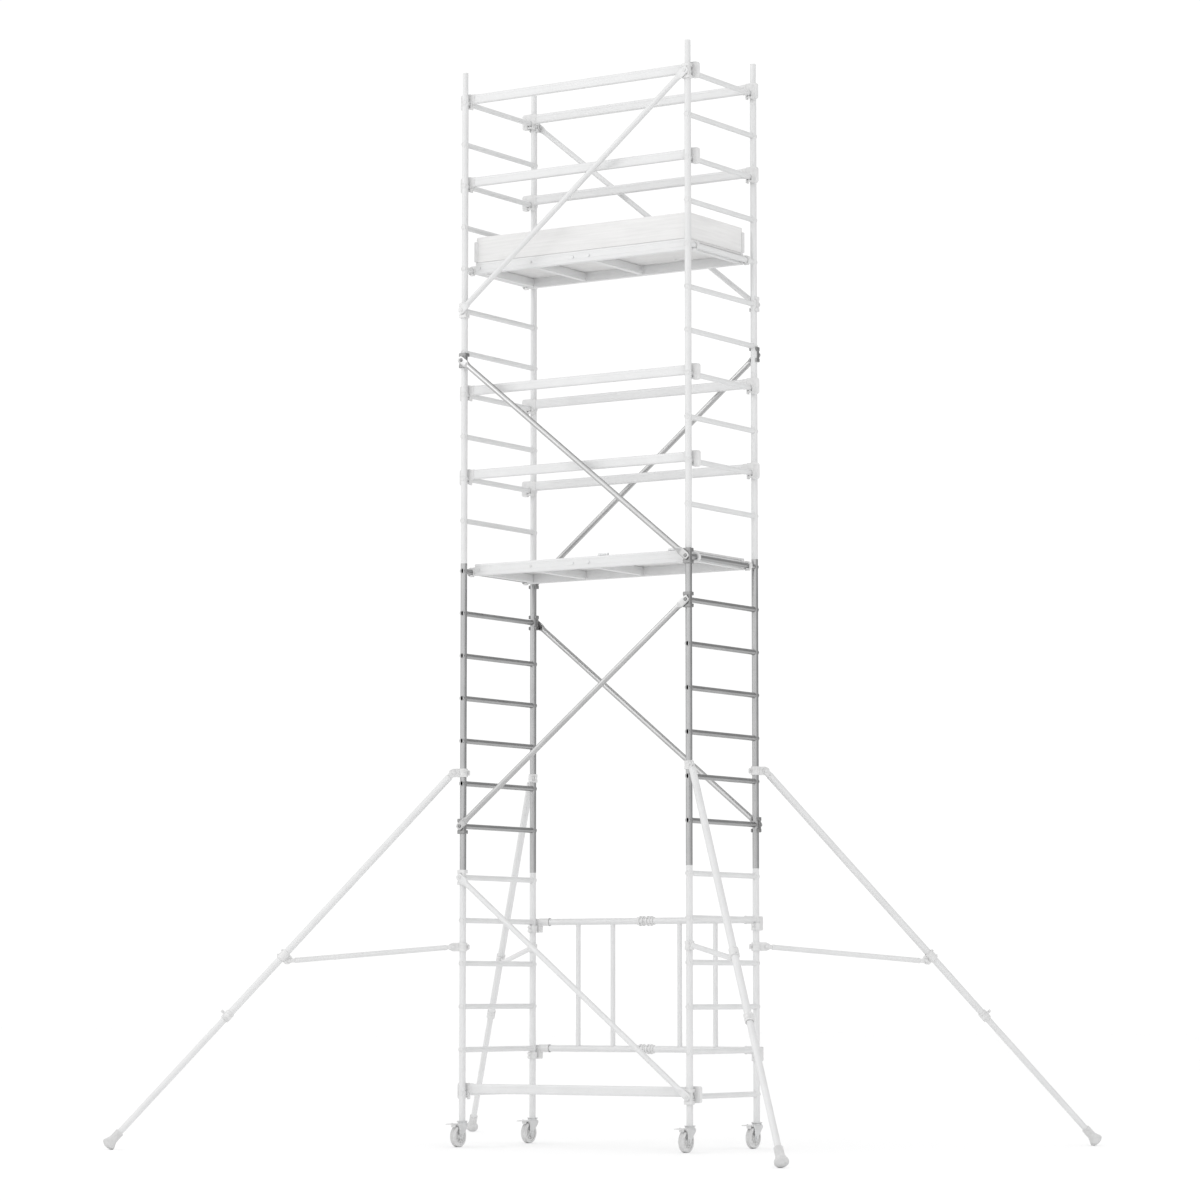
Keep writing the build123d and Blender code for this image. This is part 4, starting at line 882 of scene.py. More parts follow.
for level, rung in (("lower", MODULE[6]), ("upper", MIDDLE[6])):
    node = "platform_" + level
    top = rung + SIDE_RAIL_ABOVE
    rails = [side_rail(rear, rung) for rear in (-1, 1)]
    put(node + "_side_rails", rails, pale_along, replaces=[node + "_frame"])
    members = [cross_member(x, top) for x in MEMBERS]
    put(node + "_cross_members", members, pale_frame, replaces=[node + "_frame"])
    hooks = [shell for side, rear in CORNERS.values() for shell in rung_hook(side, rear, rung)]
    put(node + "_hooks", hooks, cast_pale, replaces=[node + "_frame"])
    steel = [shell for x in HINGES for shell in fixed_hinge(x, top)]
    face = SIDE_RAIL_Y + SIDE_RAIL_HALF
    for rear in (-1, 1):
        for x in BOLTS:
            steel += bolt((x, rear * face, rung + 0.011), rear * Y, 0.013, 0.0055)
    screws = [(x, y) for x in (-0.7285, 0.0435, 0.7285) for y in np.linspace(-0.24, 0.24, 5)]
    screws += [(x, y) for x in np.linspace(-0.60, -0.05, 5) for y in (-0.258, 0.258)]
    steel += [dome_head((x, y, top), Z, 0.0045, 0.0012) for x, y in screws]
    put(node + "_fixings", steel, zinc, replaces=[node + "_frame"])

    boards = [plate((*low, top - DECK_THICK), (*high, top), 0.0008) for low, high in BOARDS]
    put(node + "_boards", boards, board, replaces=[node + "_deck"])

    hatch_body = "hatch_" + level
    panel = plate_with_slot(*HATCH, HAND_HOLE, HAND_HOLE_HALF, HAND_HOLE_R, top - DECK_THICK, top)
    put(node + "_hatch_panel", [panel], board, hatch_body, [node + "_hatch"])
    rim = [slot_ring(HAND_HOLE, HAND_HOLE_HALF, HAND_HOLE_R - inside, border, low, top + high)
           for inside, border, low, high in ((0.0004, 0.007, top - 0.0002, 0.0016),
                                             (0.0015, 0.0016, top - DECK_THICK, 0.0012))]
    put(node + "_hand_hole_rim", rim, plastic_pale, hatch_body)
    straps = []
    for x in HINGES:
        pin = np.array((x, HINGE_Y, top + HINGE_LIFT + HINGE_R))
        straps.append(pipe(pin - KNUCKLE_HALF * X, pin + KNUCKLE_HALF * X, HINGE_R,
                           HINGE_PIN_R + 0.0001, FINE_EDGE))
        straps.append(hinge_leaf(x, HINGE_Y, STRAP_LENGTH, top + HINGE_LIFT))
        for dx, dy in STRAP_SCREWS:
            screw = (x + dx, HINGE_Y + dy, top + HINGE_LIFT + STRAP_THICK)
            straps.append(dome_head(screw, Z, 0.0036, 0.0014))
    put(node + "_hatch_straps", straps, zinc, hatch_body, [node + "_hatch"])


# ---- toeboards ----
BOARD_LOW = MIDDLE[6] + SIDE_RAIL_ABOVE
BOARD_TALL = 0.150
BOARD_THICK = 0.010
LONG_FACE = 0.303
LONG_REACH = 0.731
END_FACE = 0.745
END_REACH = 0.290
CLIP_HALF = 0.013
CLIP_AT = (0.738, 0.296)
CLIP_LOW = 0.004
CLIP_TALL = 0.120

planks = []
for sign in (-1, 1):
    outline = rectangle((0, 0), (BOARD_THICK, BOARD_TALL), 0.003, 4)
    planks.append(prism(outline, (0, sign * (LONG_FACE - BOARD_THICK), BOARD_LOW), sign * Y, Z,
                        -LONG_REACH, LONG_REACH, 0.001, w=X))
    planks.append(prism(outline, (sign * (END_FACE - BOARD_THICK), 0, BOARD_LOW), sign * X, Z,
                        -END_REACH, END_REACH, 0.001, w=Y))
put("toeboard_planks", planks, timber, replaces=["toeboards"])

clips = []
slot_low = END_FACE - BOARD_THICK - SLACK - CLIP_AT[0]
slot_high = END_FACE + SLACK - CLIP_AT[0]
long_stop = LONG_REACH + SLACK - CLIP_AT[0]
end_stop = END_REACH + SLACK - CLIP_AT[1]
for side, rear in CORNERS.values():
    c = CLIP_HALF
    outline = rounded([(-c, -c), (slot_low, -c), (slot_low, end_stop), (slot_high, end_stop),
                       (slot_high, -c), (c, -c), (c, c), (-c, c), (-c, slot_high),
                       (long_stop, slot_high), (long_stop, slot_low), (-c, slot_low)],
                      [0.002, 0, 0, 0, 0, 0.002, 0.004, 0.002, 0, 0, 0, 0])
    foot = (side * CLIP_AT[0], rear * CLIP_AT[1], BOARD_LOW + CLIP_LOW)
    clips.append(prism(outline, foot, side * X, rear * Y, 0, CLIP_TALL, 0.0015, w=Z))
    for height in (0.030, 0.090):
        for axis, reach in ((side * X, c), (rear * Y, c)):
            head = np.array(foot) + height * Z + axis * (reach - RIVET_SINK)
            clips.append(dome_head(head, axis, 0.0042, 0.0022))
put("toeboard_clip_mouldings", clips, plastic_pale, replaces=["toeboard_clips"])


# ---- gate across the rear of the base ----
GATE_Y = HALF_Y + 0.040
GATE_RAIL_R = 0.019
GATE_RAIL_BORE = 0.017
GATE_BAR_R = 0.014
GATE_BAR_BORE = 0.0124
GATE_BARS = (0.300, 0.545)
GATE_RUNGS = (BASE[1], BASE[4])
GATE_RAIL_START = 0.030
GATE_GAP = 0.002
SLEEVE_R = 0.0225
SLEEVE_SPAN = (0.022, 0.098)
LIP_LENGTH = 0.008
LIP_PROUD = 0.002
CLAMP_LOW = -0.062
CLAMP_HIGH = -0.020
CLAMP_R = 0.028
COUPLER_BORE = 0.0192
COUPLER_R = 0.024
FLANGE_R = 0.029
COUPLER_REACH = 0.056
FLANGES = (0.012, 0.034)
FLANGE_THICK = 0.007

for side_name, side in (("left", -1), ("right", 1)):
    wing = []
    for rung in GATE_RUNGS:
        start = (side * (HALF_X - GATE_RAIL_START), GATE_Y, rung)
        wing.append(pipe(start, (side * GATE_GAP, GATE_Y, rung), GATE_RAIL_R, GATE_RAIL_BORE))
    beads = []
    for place in GATE_BARS:
        x = side * (HALF_X - place)
        low = np.array((x, GATE_Y, GATE_RUNGS[0]))
        high = np.array((x, GATE_Y, GATE_RUNGS[1]))
        sink = sqrt(GATE_RAIL_R ** 2 - GATE_BAR_R ** 2) - 0.001
        wing.append(pipe(low + sink * Z, high - sink * Z, GATE_BAR_R, GATE_BAR_BORE))
        beads.append(weld_bead(low, X, Z, GATE_BAR_R, GATE_RAIL_R))
        beads.append(weld_bead(high, X, -Z, GATE_BAR_R, GATE_RAIL_R))
    name = "gate_" + side_name + "_wing"
    put(name + "_tubes", wing, pale_along, replaces=[name])
    put(name + "_welds", beads, weld_pale, replaces=[name], sharp=90)


def coupler_half(side, rung):
    """Half of the coupler in the middle of a gate rail: a sleeve with two flanges, turned
    from its section, and the four clamp screws between the flanges."""
    c = 0.0005
    section = [(0.001, COUPLER_BORE), (0.001, COUPLER_R - c), (0.001 + c, COUPLER_R)]
    for start in FLANGES:
        end = start + FLANGE_THICK
        section += [(start, COUPLER_R), (start, FLANGE_R - c), (start + c, FLANGE_R),
                    (end - c, FLANGE_R), (end, FLANGE_R - c), (end, COUPLER_R)]
    end = COUPLER_REACH
    section += [(end - c, COUPLER_R), (end, COUPLER_R - c), (end, COUPLER_BORE)]
    origin = np.array((0, GATE_Y, rung))
    shells = [lathe(section, origin, side * X, 40, wrap=True)]
    for turn in np.radians((45, 135, 225, 315)):
        at = origin + (COUPLER_R + 0.0025) * (cos(turn) * Y + sin(turn) * Z)
        shells.append(rod(at + side * 0.018 * X, at + side * 0.035 * X, 0.0022, HAIR_EDGE))
        shells += bolt(at + side * 0.041 * X, side * X, 0.0050, 0.0032, washer=False)
    return shells


def post_clamp(side, rung):
    """Clamp ring under a rung, with the arm and the sleeve that carry a gate rail."""
    post = np.array((side * HALF_X, HALF_Y, rung))
    shells = [collar(post, Z, CLAMP_LOW, CLAMP_HIGH, CLAMP_R, POST_R + SLACK, 0.0012, 40)]
    arm = rectangle((-0.034, CLAMP_LOW), (0.012, 0.020), 0.007)
    shells.append(prism(arm, post, side * X, Z, POST_R + 0.001, 0.060, 0.002, w=Y))
    near, far = SLEEVE_SPAN
    line = np.array((side * HALF_X, GATE_Y, rung))
    for start, radius in ((near, SLEEVE_R), (far - LIP_LENGTH, SLEEVE_R + LIP_PROUD)):
        shells.append(pipe(line - side * start * X, line - side * far * X, radius,
                           GATE_RAIL_R + SLACK, CRISP_EDGE))
    for height in (CLAMP_LOW + 0.012, CLAMP_HIGH + 0.004):
        shells += bolt(post + 0.060 * Y + height * Z + side * 0.002 * X, Y, 0.013, 0.0065)
    for height in (-0.052, -0.030):
        lug = post - CLAMP_R * Y * 0.97 + height * Z
        shells.append(plate(lug - (0.009, 0.010, 0.007), lug + (0.009, 0.004, 0.007)))
        shells += bolt(lug + side * 0.009 * X - 0.004 * Y, side * X, 0.010, 0.005)
    return shells


fittings = []
for rung in GATE_RUNGS:
    for side in (-1, 1):
        fittings += coupler_half(side, rung) + post_clamp(side, rung)
put("gate_clamps_and_couplers", fittings, cast_pale, replaces=["gate_fittings"])


# ---- castors ----
WHEEL_R = 0.0625
TRAIL = 0.040                   # axle in front of the swivel axis
TYRE_HALF = 0.0175
SHOULDER = 0.008
HUB_R = 0.046
HUB_HALF = 0.013
BOSS_R = 0.013
BOSS_HALF = 0.0195
AXLE_R = 0.006
LEG_INNER = 0.0205
LEG_OUTER = 0.0245
CROWN_HALF = 0.0228             # the crown stops inside the legs' outer faces
CROWN_LOW = 0.128
CROWN_HIGH = 0.134
RACE_R = 0.028
RACE_TOP = 0.1447
COLLAR_LOW = 0.145
POST_FOOT = 0.150
COLLAR_R = 0.032
STEM_R = 0.0169
STEM_TOP = 0.275
PEDAL_Y = -0.068                # pedal hinge, from the swivel axis
PEDAL_Z = 0.131
PEDAL_TIP = -0.155
PEDAL_HALF = 0.020
LUG_R = 0.009


def castor_fork(x, y):
    """Pressed fork: two leg plates whose outline runs round the pedal lug, down to the axle
    eye and back, a crown plate, the stepped ball race, and the axle's bolt heads."""
    eye = (-TRAIL, WHEEL_R)
    lug = arc((PEDAL_Y, PEDAL_Z), LUG_R, 90, 215, 10)
    foot = arc(eye, 0.017, 178, 368, 20)
    outline = np.concatenate([[(0.025, CROWN_HIGH), (-0.057, CROWN_HIGH)], lug, [(-0.0605, 0.112)],
                              foot, [(0.028, 0.119), (0.028, CROWN_HIGH - 0.003)]])
    swivel = np.array((x, y, 0))
    shells = []
    for side in (-1, 1):
        low, high = sorted((side * LEG_INNER, side * LEG_OUTER))
        shells.append(prism(outline, swivel, Y, Z, low, high, CRISP_EDGE, w=X))
        boss = swivel + side * LEG_OUTER * X + eye[0] * Y + eye[1] * Z
        shells += bolt(boss, side * X, 0.017, 0.0062)
        lug_at = swivel + side * LEG_OUTER * X + PEDAL_Y * Y + PEDAL_Z * Z
        shells.append(rod(lug_at, lug_at + side * 0.0012 * X, 0.0062, 0.0004))
    crown = rectangle((-CROWN_HALF, -0.0575), (CROWN_HALF, 0.0275), 0.003)
    shells.append(prism(crown, swivel, X, Y, CROWN_LOW, CROWN_HIGH + 0.0005, 0.0012, w=Z))
    race = [(CROWN_HIGH - 0.001, RACE_R + 0.003), (CROWN_HIGH + 0.001, RACE_R + 0.002),
            (CROWN_HIGH + 0.0028, RACE_R), (0.1390, RACE_R), (0.1394, RACE_R - 0.0012),
            (0.1402, RACE_R - 0.0012), (0.1406, RACE_R), (RACE_TOP - 0.002, RACE_R),
            (RACE_TOP, RACE_R - 0.003)]
    shells.append(lathe(race, swivel, Z, 44))
    axle = swivel + eye[0] * Y + eye[1] * Z
    shells.append(rod(axle - LEG_OUTER * X, axle + LEG_OUTER * X, AXLE_R))
    return shells


def castor_hub(x, axle_y):
    """Moulded wheel centre: boss, dished web and rim turned from one section, and ten ribs
    across the dish on each face."""
    half = [(BOSS_HALF, 0.0061), (BOSS_HALF, BOSS_R - 0.001), (BOSS_HALF - 0.001, BOSS_R),
            (HUB_HALF, BOSS_R + 0.001), (0.0062, BOSS_R + 0.003), (0.0050, BOSS_R + 0.0045),
            (0.0050, 0.0370), (0.0062, 0.0385), (HUB_HALF, 0.0398), (HUB_HALF, HUB_R - 0.0008)]
    section = half + [(-a, r) for a, r in half[::-1]]
    section[len(half):len(half)] = [(HUB_HALF - 0.0008, HUB_R), (-HUB_HALF + 0.0008, HUB_R)]
    axle = np.array((x, axle_y, WHEEL_R))
    shells = [lathe(section, axle, X, 56, wrap=True)]
    rib = rectangle((0.0155, 0.004), (0.0392, 0.0115), 0.001, 2)
    for turn in 2 * pi * np.arange(10) / 10:
        spoke = cos(turn) * Y + sin(turn) * Z
        for side in (-1, 1):
            shells.append(prism(rib, axle, spoke, side * X, -0.0014, 0.0014, 0.0004))
    return shells


def castor_tyre(x, axle_y):
    """Tyre with quarter-round shoulders, two grooves round the tread and a step at the rim."""
    side = [(-TYRE_HALF, HUB_R + 0.0001), (-TYRE_HALF + 0.0008, HUB_R + 0.003),
            (-TYRE_HALF + 0.0008, HUB_R + 0.0055), (-TYRE_HALF, HUB_R + 0.0065)]
    shoulder = arc((-TYRE_HALF + SHOULDER, WHEEL_R - SHOULDER), SHOULDER, 180, 90, 8)
    groove = [(-0.0062, WHEEL_R), (-0.0056, WHEEL_R - 0.0012), (-0.0044, WHEEL_R - 0.0012),
              (-0.0038, WHEEL_R)]
    left = np.concatenate([side, shoulder, groove])
    section = np.concatenate([left, left[::-1] * (-1, 1)])
    return [lathe(section, np.array((x, axle_y, WHEEL_R)), X, 80, wrap=True)]


def castor_pedal(x, y):
    """Brake pedal: a tread plate that narrows to a round tip, cross ribs on its face, the
    hinge barrel with its pin, and the wedge-shaped shoe over the tyre."""
    swivel = np.array((x, y, 0))
    inner = PEDAL_HALF
    tread = rounded([(-0.0135, PEDAL_TIP), (0.0135, PEDAL_TIP), (inner, PEDAL_Y - 0.040),
                     (inner, PEDAL_Y), (-inner, PEDAL_Y), (-inner, PEDAL_Y - 0.040)],
                    [0.010, 0.010, 0.015, 0.002, 0.002, 0.015])
    shells = [prism(tread, swivel, X, Y, PEDAL_Z, PEDAL_Z + 0.005, 0.0015, w=Z)]
    for step in range(5):
        rib_y = PEDAL_TIP + 0.012 + 0.009 * step
        reach = 0.0105 + 0.0008 * step
        rib = rectangle((-reach, rib_y - 0.0013), (reach, rib_y + 0.0013), 0.0011, 3)
        shells.append(prism(rib, swivel, X, Y, PEDAL_Z + 0.0045, PEDAL_Z + 0.0062, FINE_EDGE, w=Z))
    hinge = swivel + PEDAL_Y * Y + PEDAL_Z * Z
    for half, radius in ((inner, 0.007), (LEG_OUTER + 0.002, 0.0035)):
        shells.append(rod(hinge - half * X, hinge + half * X, radius))
    shoe = [(-0.092, 0.133), (-0.0905, 0.1145), (-0.0855, 0.1145), (-0.084, 0.133)]
    shoe = rounded(shoe, 0.0012, 3)
    shells.append(prism(shoe, swivel, Y, Z, -0.014, 0.014, CRISP_EDGE, w=X))
    return shells


stems = []
for corner, (side, rear) in CORNERS.items():
    x = side * HALF_X
    y = rear * HALF_Y
    name = "castor_" + corner
    for piece, shells, material, node, body in (
            ("_fork_pressing", castor_fork(x, y), zinc, "fork", "_swivel"),
            ("_wheel_centre", castor_hub(x, y - TRAIL), plastic_pale, "hub", "_wheel"),
            ("_tread", castor_tyre(x, y - TRAIL), rubber_pale, "tyre", "_wheel"),
            ("_brake_pedal", castor_pedal(x, y), plastic_pale, "pedal", "_brake")):
        put(name + piece, shells, material, name + body, [name + "_" + node])
    stem = [(0.1210, 0.0100), (0.1222, 0.0120), (0.1268, 0.0120), (0.1277, 0.0110),
            (0.1277, 0.0080), (COLLAR_LOW, 0.0080), (COLLAR_LOW, COLLAR_R - 0.001),
            (COLLAR_LOW + 0.001, COLLAR_R),
            (POST_FOOT - 0.001, COLLAR_R), (POST_FOOT, COLLAR_R - 0.001), (POST_FOOT, STEM_R),
            (STEM_TOP - 0.003, STEM_R), (STEM_TOP, STEM_R - 0.003)]
    stems.append(lathe(stem, (x, y, 0), Z, 40))
put("castor_stem_turnings", stems, zinc, replaces=["castor_stems"])


# ---- stabilisers ----
UPPER_CLAMP = 2.170
LOWER_CLAMP = 1.155
LUG_PIN = 0.060
FOOT_REACH = 2.021
DOME_R = 0.056
RIM_R = 0.039
TUBE_R = 0.0205
TUBE_BORE = 0.0185
STRUT_R = 0.015
STRUT_BORE = 0.0134
TUBE_START = 0.036
TUBE_END = 1.950
BRACKET_AT = 1.456
BRACKET_OFFSET = 0.044
STAB_CLAMP_R = 0.027
STAB_CLAMP_HALF = 0.025
STAB_EDGE = 0.0015
BRACKET_HALF = 0.028
STAB_LUG = (-0.004, 0.004, 0.0012)      # a lug's faces and its rim
LUG_PIN_R = 0.006
CHEEK_NEAR = 0.0043
CHEEK_THICK = 0.006
LOCK_LENGTH = 0.055
LOCK_R = 0.026
KNOB_STAND = 0.022
SLANT = atan2(FOOT_REACH - LUG_PIN, UPPER_CLAMP - DOME_R)
DOME_AT = sqrt((FOOT_REACH - LUG_PIN) ** 2 + (UPPER_CLAMP - DOME_R) ** 2)


def cheeks(pin, along, across, width, length):
    """Two round-nosed cheeks that straddle a lug and run from its pin into a tube."""
    nose = arc((0, 0), width / 2, 90, 270, 20)
    outline = np.concatenate([nose, [(length, -width / 2), (length, width / 2)]])
    far = CHEEK_NEAR + CHEEK_THICK
    return [prism(outline, pin, along, np.cross(across, along), low, high, CRISP_EDGE, w=across)
            for low, high in ((-far, -CHEEK_NEAR), (CHEEK_NEAR, far))]


def tube_end(pin, along, radius, bore):
    """Swaged cap that closes a tube's end round its cheeks: a ring with a rounded shoulder."""
    start = TUBE_START
    section = [(start - 0.002, radius - 0.004), (start - 0.001, radius - 0.0015),
               (start + 0.001, radius + 0.0006), (start + 0.014, radius + 0.0006),
               (start + 0.015, radius - 0.0002), (start + 0.016, bore)]
    return lathe(section, pin, along, 36)


def lug_pin(pin, across):
    """Lug pin: a shank through the cheeks, with a washer and a hexagon head at each end."""
    shells = [rod(pin - 0.0125 * across, pin + 0.0125 * across, LUG_PIN_R)]
    for sign in (-1, 1):
        shells += bolt(pin + sign * 0.0104 * across, sign * across, 0.0165, 0.0060)
    return shells


def split_clamp(post, pin_way, height, across):
    """Clamp round a post: a ring with turned rims, the lug that carries the pin, and opposite
    it two ears drawn together by a screw with a winged nut."""
    c = STAB_EDGE
    bore = POST_R + 0.0003
    half = STAB_CLAMP_HALF
    centre = post + height * Z
    low = [(-half, bore), (-half, STAB_CLAMP_R - c), (-half + c, STAB_CLAMP_R),
           (-0.010, STAB_CLAMP_R), (-0.008, STAB_CLAMP_R - c)]
    ring = low + [(-a, r) for a, r in low[::-1]]
    shells = [lathe(ring, centre, Z, 44, wrap=True)]
    tail = [(0.021, -half), (LUG_PIN, -half), (0.083, -0.014), (0.083, 0.014),
            (LUG_PIN, half), (0.021, half)]
    outline = rounded(tail, [0] + [0.010] * 4 + [0])
    shells.append(prism(outline, centre, pin_way, Z, *STAB_LUG, w=across))
    ear = [(-0.022, -0.016), (-0.040, -0.013), (-0.040, 0.013), (-0.022, 0.016)]
    ear = rounded(ear, [0, 0.006, 0.006, 0])
    for low, high in ((-0.0065, -0.0015), (0.0015, 0.0065)):
        shells.append(prism(ear, centre, pin_way, Z, low, high, CRISP_EDGE, w=across))
    screw = centre - 0.0325 * pin_way
    shells.append(rod(screw - 0.012 * across, screw + 0.016 * across, 0.003))
    shells += bolt(screw - 0.0065 * across, -across, 0.0105, 0.0055)
    wing = [(-0.017, 0.0075), (-0.015, 0.0125), (-0.006, 0.0085), (0.006, 0.0085),
            (0.015, 0.0125), (0.017, 0.0075), (0.006, 0.0), (-0.006, 0.0)]
    wing = rounded(wing, [0.002, 0.002, 0.003, 0.003] * 2, 4)
    nut = screw + 0.0065 * across
    shells.append(prism(wing, nut, Z, across, -0.0018, 0.0018, 0.0008))
    shells.append(rod(nut, screw + 0.0145 * across, 0.0055))
    return shells


def tube_bracket(pin, middle, along, below, across):
    """Bracket on the outer tube: a ring, and the lug for the strut's pin."""
    half = BRACKET_HALF
    shells = [collar(middle, along, -half, half, STAB_CLAMP_R, TUBE_R + SLACK, STAB_EDGE)]
    tail = [(0.022, -half), (BRACKET_OFFSET, -half), (0.058, -0.012), (0.058, 0.012),
            (BRACKET_OFFSET, half), (0.022, half)]
    outline = rounded(tail, [0, 0.010, 0.008, 0.008, 0.010, 0])
    shells.append(prism(outline, middle, below, along, *STAB_LUG, w=across))
    for sign in (-1, 1):
        at = middle + sign * 0.018 * along - 0.9 * STAB_CLAMP_R * below
        shells += bolt(at, -below, 0.011, 0.0080)
    return shells + lug_pin(pin, across)


def leg_lock(end, along, below, across):
    """Lock collar turned with grip grooves, and its star knob: the knob's rim is
    r + a cos 6t."""
    start = end - LOCK_LENGTH * along
    c = STAB_EDGE
    section = [(0, TUBE_R + SLACK), (0, LOCK_R - c), (c, LOCK_R)]
    for groove in (0.010, 0.016, 0.039, 0.045):
        section += [(groove, LOCK_R), (groove + 0.0006, LOCK_R - 0.0012),
                    (groove + 0.0024, LOCK_R - 0.0012), (groove + 0.003, LOCK_R)]
    section += [(LOCK_LENGTH - c, LOCK_R), (LOCK_LENGTH, LOCK_R - c),
                (LOCK_LENGTH, TUBE_R + SLACK)]
    shells = [lathe(section, start, along, 48, wrap=True)]
    foot = end - LOCK_LENGTH / 2 * along
    neck = [(0.022, 0.0095), (LOCK_R + 0.003, 0.0085), (LOCK_R + 0.009, 0.0045)]
    shells.append(lathe(neck, foot, -below, 28))
    angle = 2 * pi * np.arange(60) / 60
    radius = 0.0082 + 0.0008 * np.cos(6 * angle)
    star = np.stack([radius * np.cos(angle), radius * np.sin(angle)], -1)
    low = LOCK_R + 0.007
    shells.append(prism(star, foot, across, along, low, LOCK_R + KNOB_STAND, 0.002, w=-below))
    return shells


def rubber_foot(dome, along):
    """Bell-shaped foot turned from its section: a ringed sleeve, a flare
    r = sleeve + (rim - sleeve) k^1.6, the rim, and a domed sole with two circular grooves."""
    sleeve = [(-0.060, 0.0185), (-0.060, 0.0238), (-0.0588, 0.0250)]
    for ring in (-0.052, -0.042, -0.032, -0.022):
        sleeve += [(ring, 0.0250), (ring + 0.001, 0.0242), (ring + 0.003, 0.0242),
                   (ring + 0.004, 0.0250)]
    k = np.linspace(0, 1, 12)
    flare = np.stack([-0.010 + 0.038 * k, 0.025 + (RIM_R - 0.025) * k ** 1.6], -1)
    rim_at = sqrt(DOME_R ** 2 - RIM_R ** 2)
    rim = [(0.0300, RIM_R), (rim_at, RIM_R)]
    turn = np.linspace(asin(RIM_R / DOME_R), 0.01, 22)
    depth = 0.0008 * (np.abs(np.sin(turn * 18)) > 0.9)
    sole = np.stack([(DOME_R - depth) * np.cos(turn), (DOME_R - depth) * np.sin(turn)], -1)
    return lathe(np.concatenate([sleeve, flare, rim, sole[1:]]), dome, along, 56)


for corner, (side, rear) in CORNERS.items():
    name = "stabiliser_" + corner
    out = unit((side, rear, 0))
    across = np.cross(Z, out)
    post = np.array((side * HALF_X, rear * HALF_Y, 0))
    along = out * sin(SLANT) - Z * cos(SLANT)
    below = -out * cos(SLANT) - Z * sin(SLANT)
    top_pin = post + out * LUG_PIN + Z * UPPER_CLAMP
    low_pin = post + out * LUG_PIN + Z * LOWER_CLAMP
    middle = top_pin + along * BRACKET_AT
    strut_pin = middle + below * BRACKET_OFFSET
    strut_line = unit(strut_pin - low_pin)

    tubes = [pipe(top_pin + along * TUBE_START, top_pin + along * TUBE_END, TUBE_R, TUBE_BORE),
             pipe(low_pin + strut_line * TUBE_START, strut_pin - strut_line * TUBE_START,
                  STRUT_R, STRUT_BORE)]
    forks = []
    for pin, line, radius, bore, width in ((top_pin, along, TUBE_R, TUBE_BORE, 0.034),
                                           (low_pin, strut_line, STRUT_R, STRUT_BORE, 0.024),
                                           (strut_pin, -strut_line, STRUT_R, STRUT_BORE, 0.024)):
        tubes.append(tube_end(pin, line, radius, bore))
        forks += cheeks(pin, line, across, width, TUBE_START + 0.004)
    put(name + "_outer_tube_and_strut", tubes, pale_slant, name,
        [name + "_tube"])
    put(name + "_cheeks", forks, cast_pale, name, [name + "_tube"])
    clamps = (split_clamp(post, out, UPPER_CLAMP, across)
              + split_clamp(post, out, LOWER_CLAMP, across)
              + lug_pin(top_pin, across) + lug_pin(low_pin, across)
              + tube_bracket(strut_pin, middle, along, below, across)
              + leg_lock(top_pin + along * (TUBE_END + 0.006), along, below, across))
    put(name + "_clamps_and_lock", clamps, cast_pale, name,
        [name + "_clamps"])
    dress(pale_slant, name + "_leg")
    foot = rubber_foot(top_pin + along * DOME_AT, along)
    put(name + "_bell_foot", [foot], rubber_pale, name + "_extension",
        [name + "_foot"])


# ---- floor, light and camera ----
FLOOR_HALF = 60.0
mesh = bpy.data.meshes.new("studio_floor")
mesh.from_pydata([(-FLOOR_HALF, -FLOOR_HALF, 0), (FLOOR_HALF, -FLOOR_HALF, 0),
                  (FLOOR_HALF, FLOOR_HALF, 0), (-FLOOR_HALF, FLOOR_HALF, 0)], [], [(0, 1, 2, 3)])
floor = bpy.data.objects.new("studio_floor", mesh)
bpy.context.scene.collection.objects.link(floor)
finish = Finish("studio_floor_paint", Roughness=0.9, Specular_IOR_Level=0.1)
finish.shader.inputs["Base Color"].default_value = (0.97, 0.97, 0.97, 1)
mesh.materials.append(finish.material)

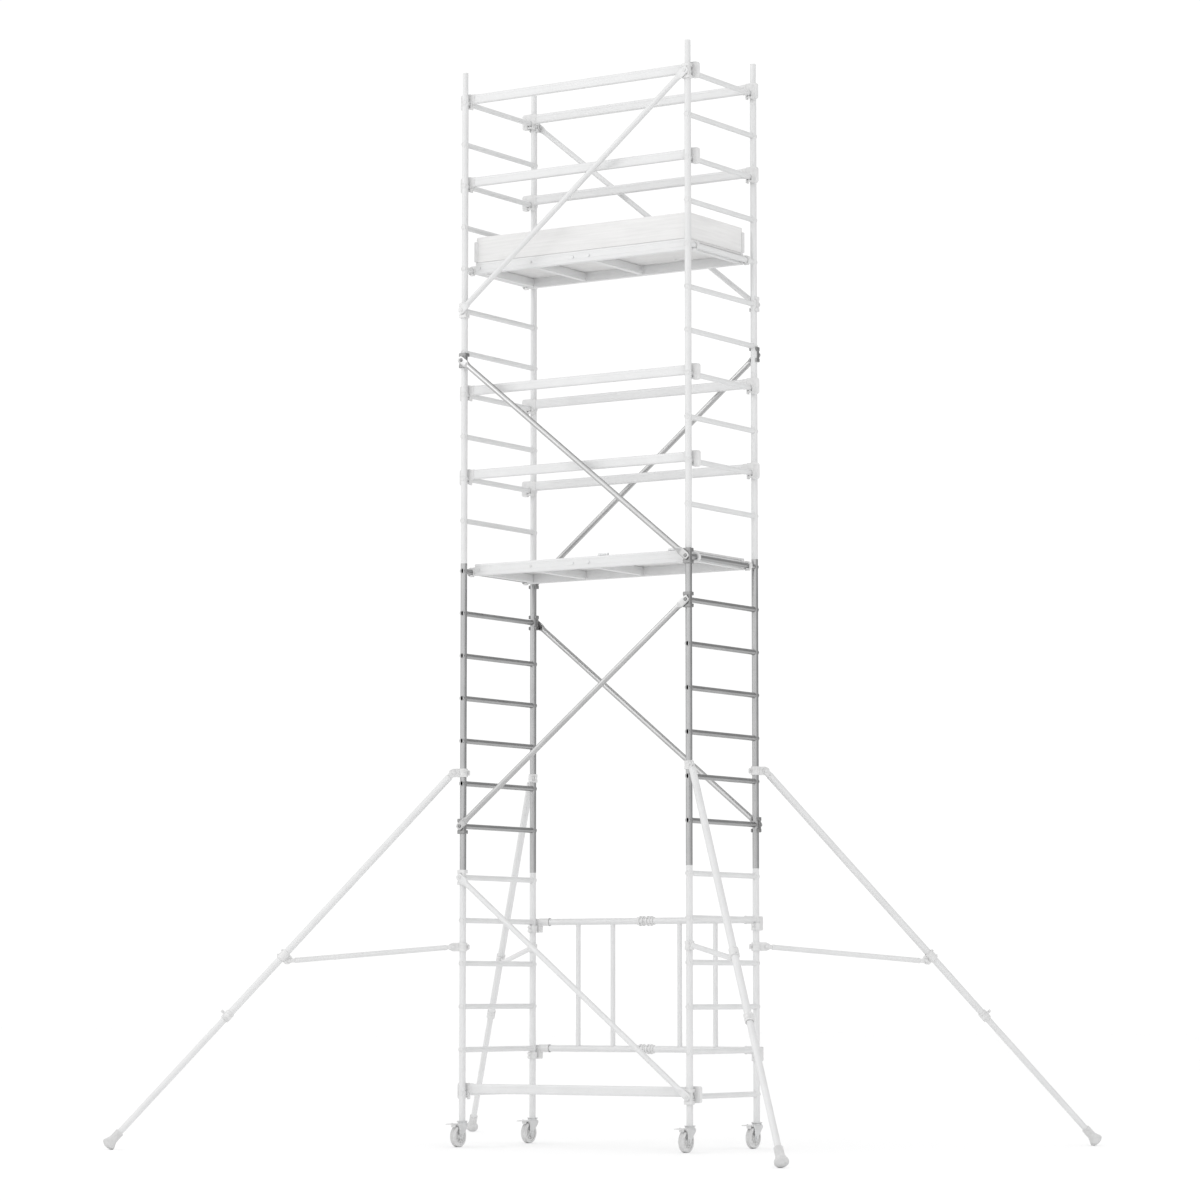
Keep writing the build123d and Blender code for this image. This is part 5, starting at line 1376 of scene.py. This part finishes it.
YAW = 0.57705                   # the camera looks this far to the left of +Y
PITCH_UP = 0.09660
CAMERA_AT = (12.812, -19.774, 0.8931)
LENS = 121.415                  # mm, on a 36 mm sensor
camera_data = bpy.data.cameras.new("studio_camera")
camera_data.sensor_width = 36.0
camera_data.lens = LENS
camera_data.clip_end = 200.0
camera = bpy.data.objects.new("studio_camera", camera_data)
camera.location = CAMERA_AT
camera.rotation_euler = (pi / 2 + PITCH_UP, 0, YAW)
bpy.context.scene.collection.objects.link(camera)
bpy.context.scene.camera = camera

# The room is an even white to the camera and to matt surfaces; in polished ones it is brighter
# on the left and dimmer on the right, as between a large soft box and a dark wall.
EVEN_WHITE = 1.04
GLOSS_MEAN = 1.02
GLOSS_SWING = 0.62
BRIGHT_SIDE = YAW + radians(-50)
world = bpy.data.worlds.new("studio_room")
bpy.context.scene.world = world
room = Tree(world)
backdrop = room.nodes["Background"]
place = room.add("TexCoord").outputs["Generated"]
toward = room.add("VectorMath", {"operation": "DOT_PRODUCT"}, i0=place,
                  i1=(sin(BRIGHT_SIDE), -cos(BRIGHT_SIDE), 0))
swing = room.add("Math", {"operation": "MULTIPLY_ADD"}, i0=toward.outputs["Value"],
                 i1=GLOSS_SWING, i2=GLOSS_MEAN)
rays = room.add("LightPath")
strength = room.add("Mix", i0=rays.outputs["Is Glossy Ray"], i2=EVEN_WHITE, i3=swing.outputs[0])
room.links.new(strength.outputs[0], backdrop.inputs["Strength"])
backdrop.inputs["Color"].default_value = (1, 1, 1, 1)


def soft_box(name, place, aim, size, power):
    """Square area light, pointed from its place at a spot."""
    data = bpy.data.lights.new(name, "AREA")
    data.shape = "SQUARE"
    data.size = size
    data.energy = power
    light = bpy.data.objects.new(name, data)
    away = unit(np.subtract(place, aim))
    light.location = place
    light.rotation_euler = (acos(away[2]), 0, atan2(away[0], -away[1]))
    bpy.context.scene.collection.objects.link(light)


MIDDLE_OF_TOWER = (0, 0, 3.1)
soft_box("key_soft_box", (-7.0, -9.0, 9.5), MIDDLE_OF_TOWER, 5.0, 130.0)
soft_box("fill_soft_box", (9.0, -8.0, 6.0), MIDDLE_OF_TOWER, 5.0, 40.0)

bpy.context.scene.view_settings.view_transform = "Standard"
bpy.context.scene.view_settings.look = "None"
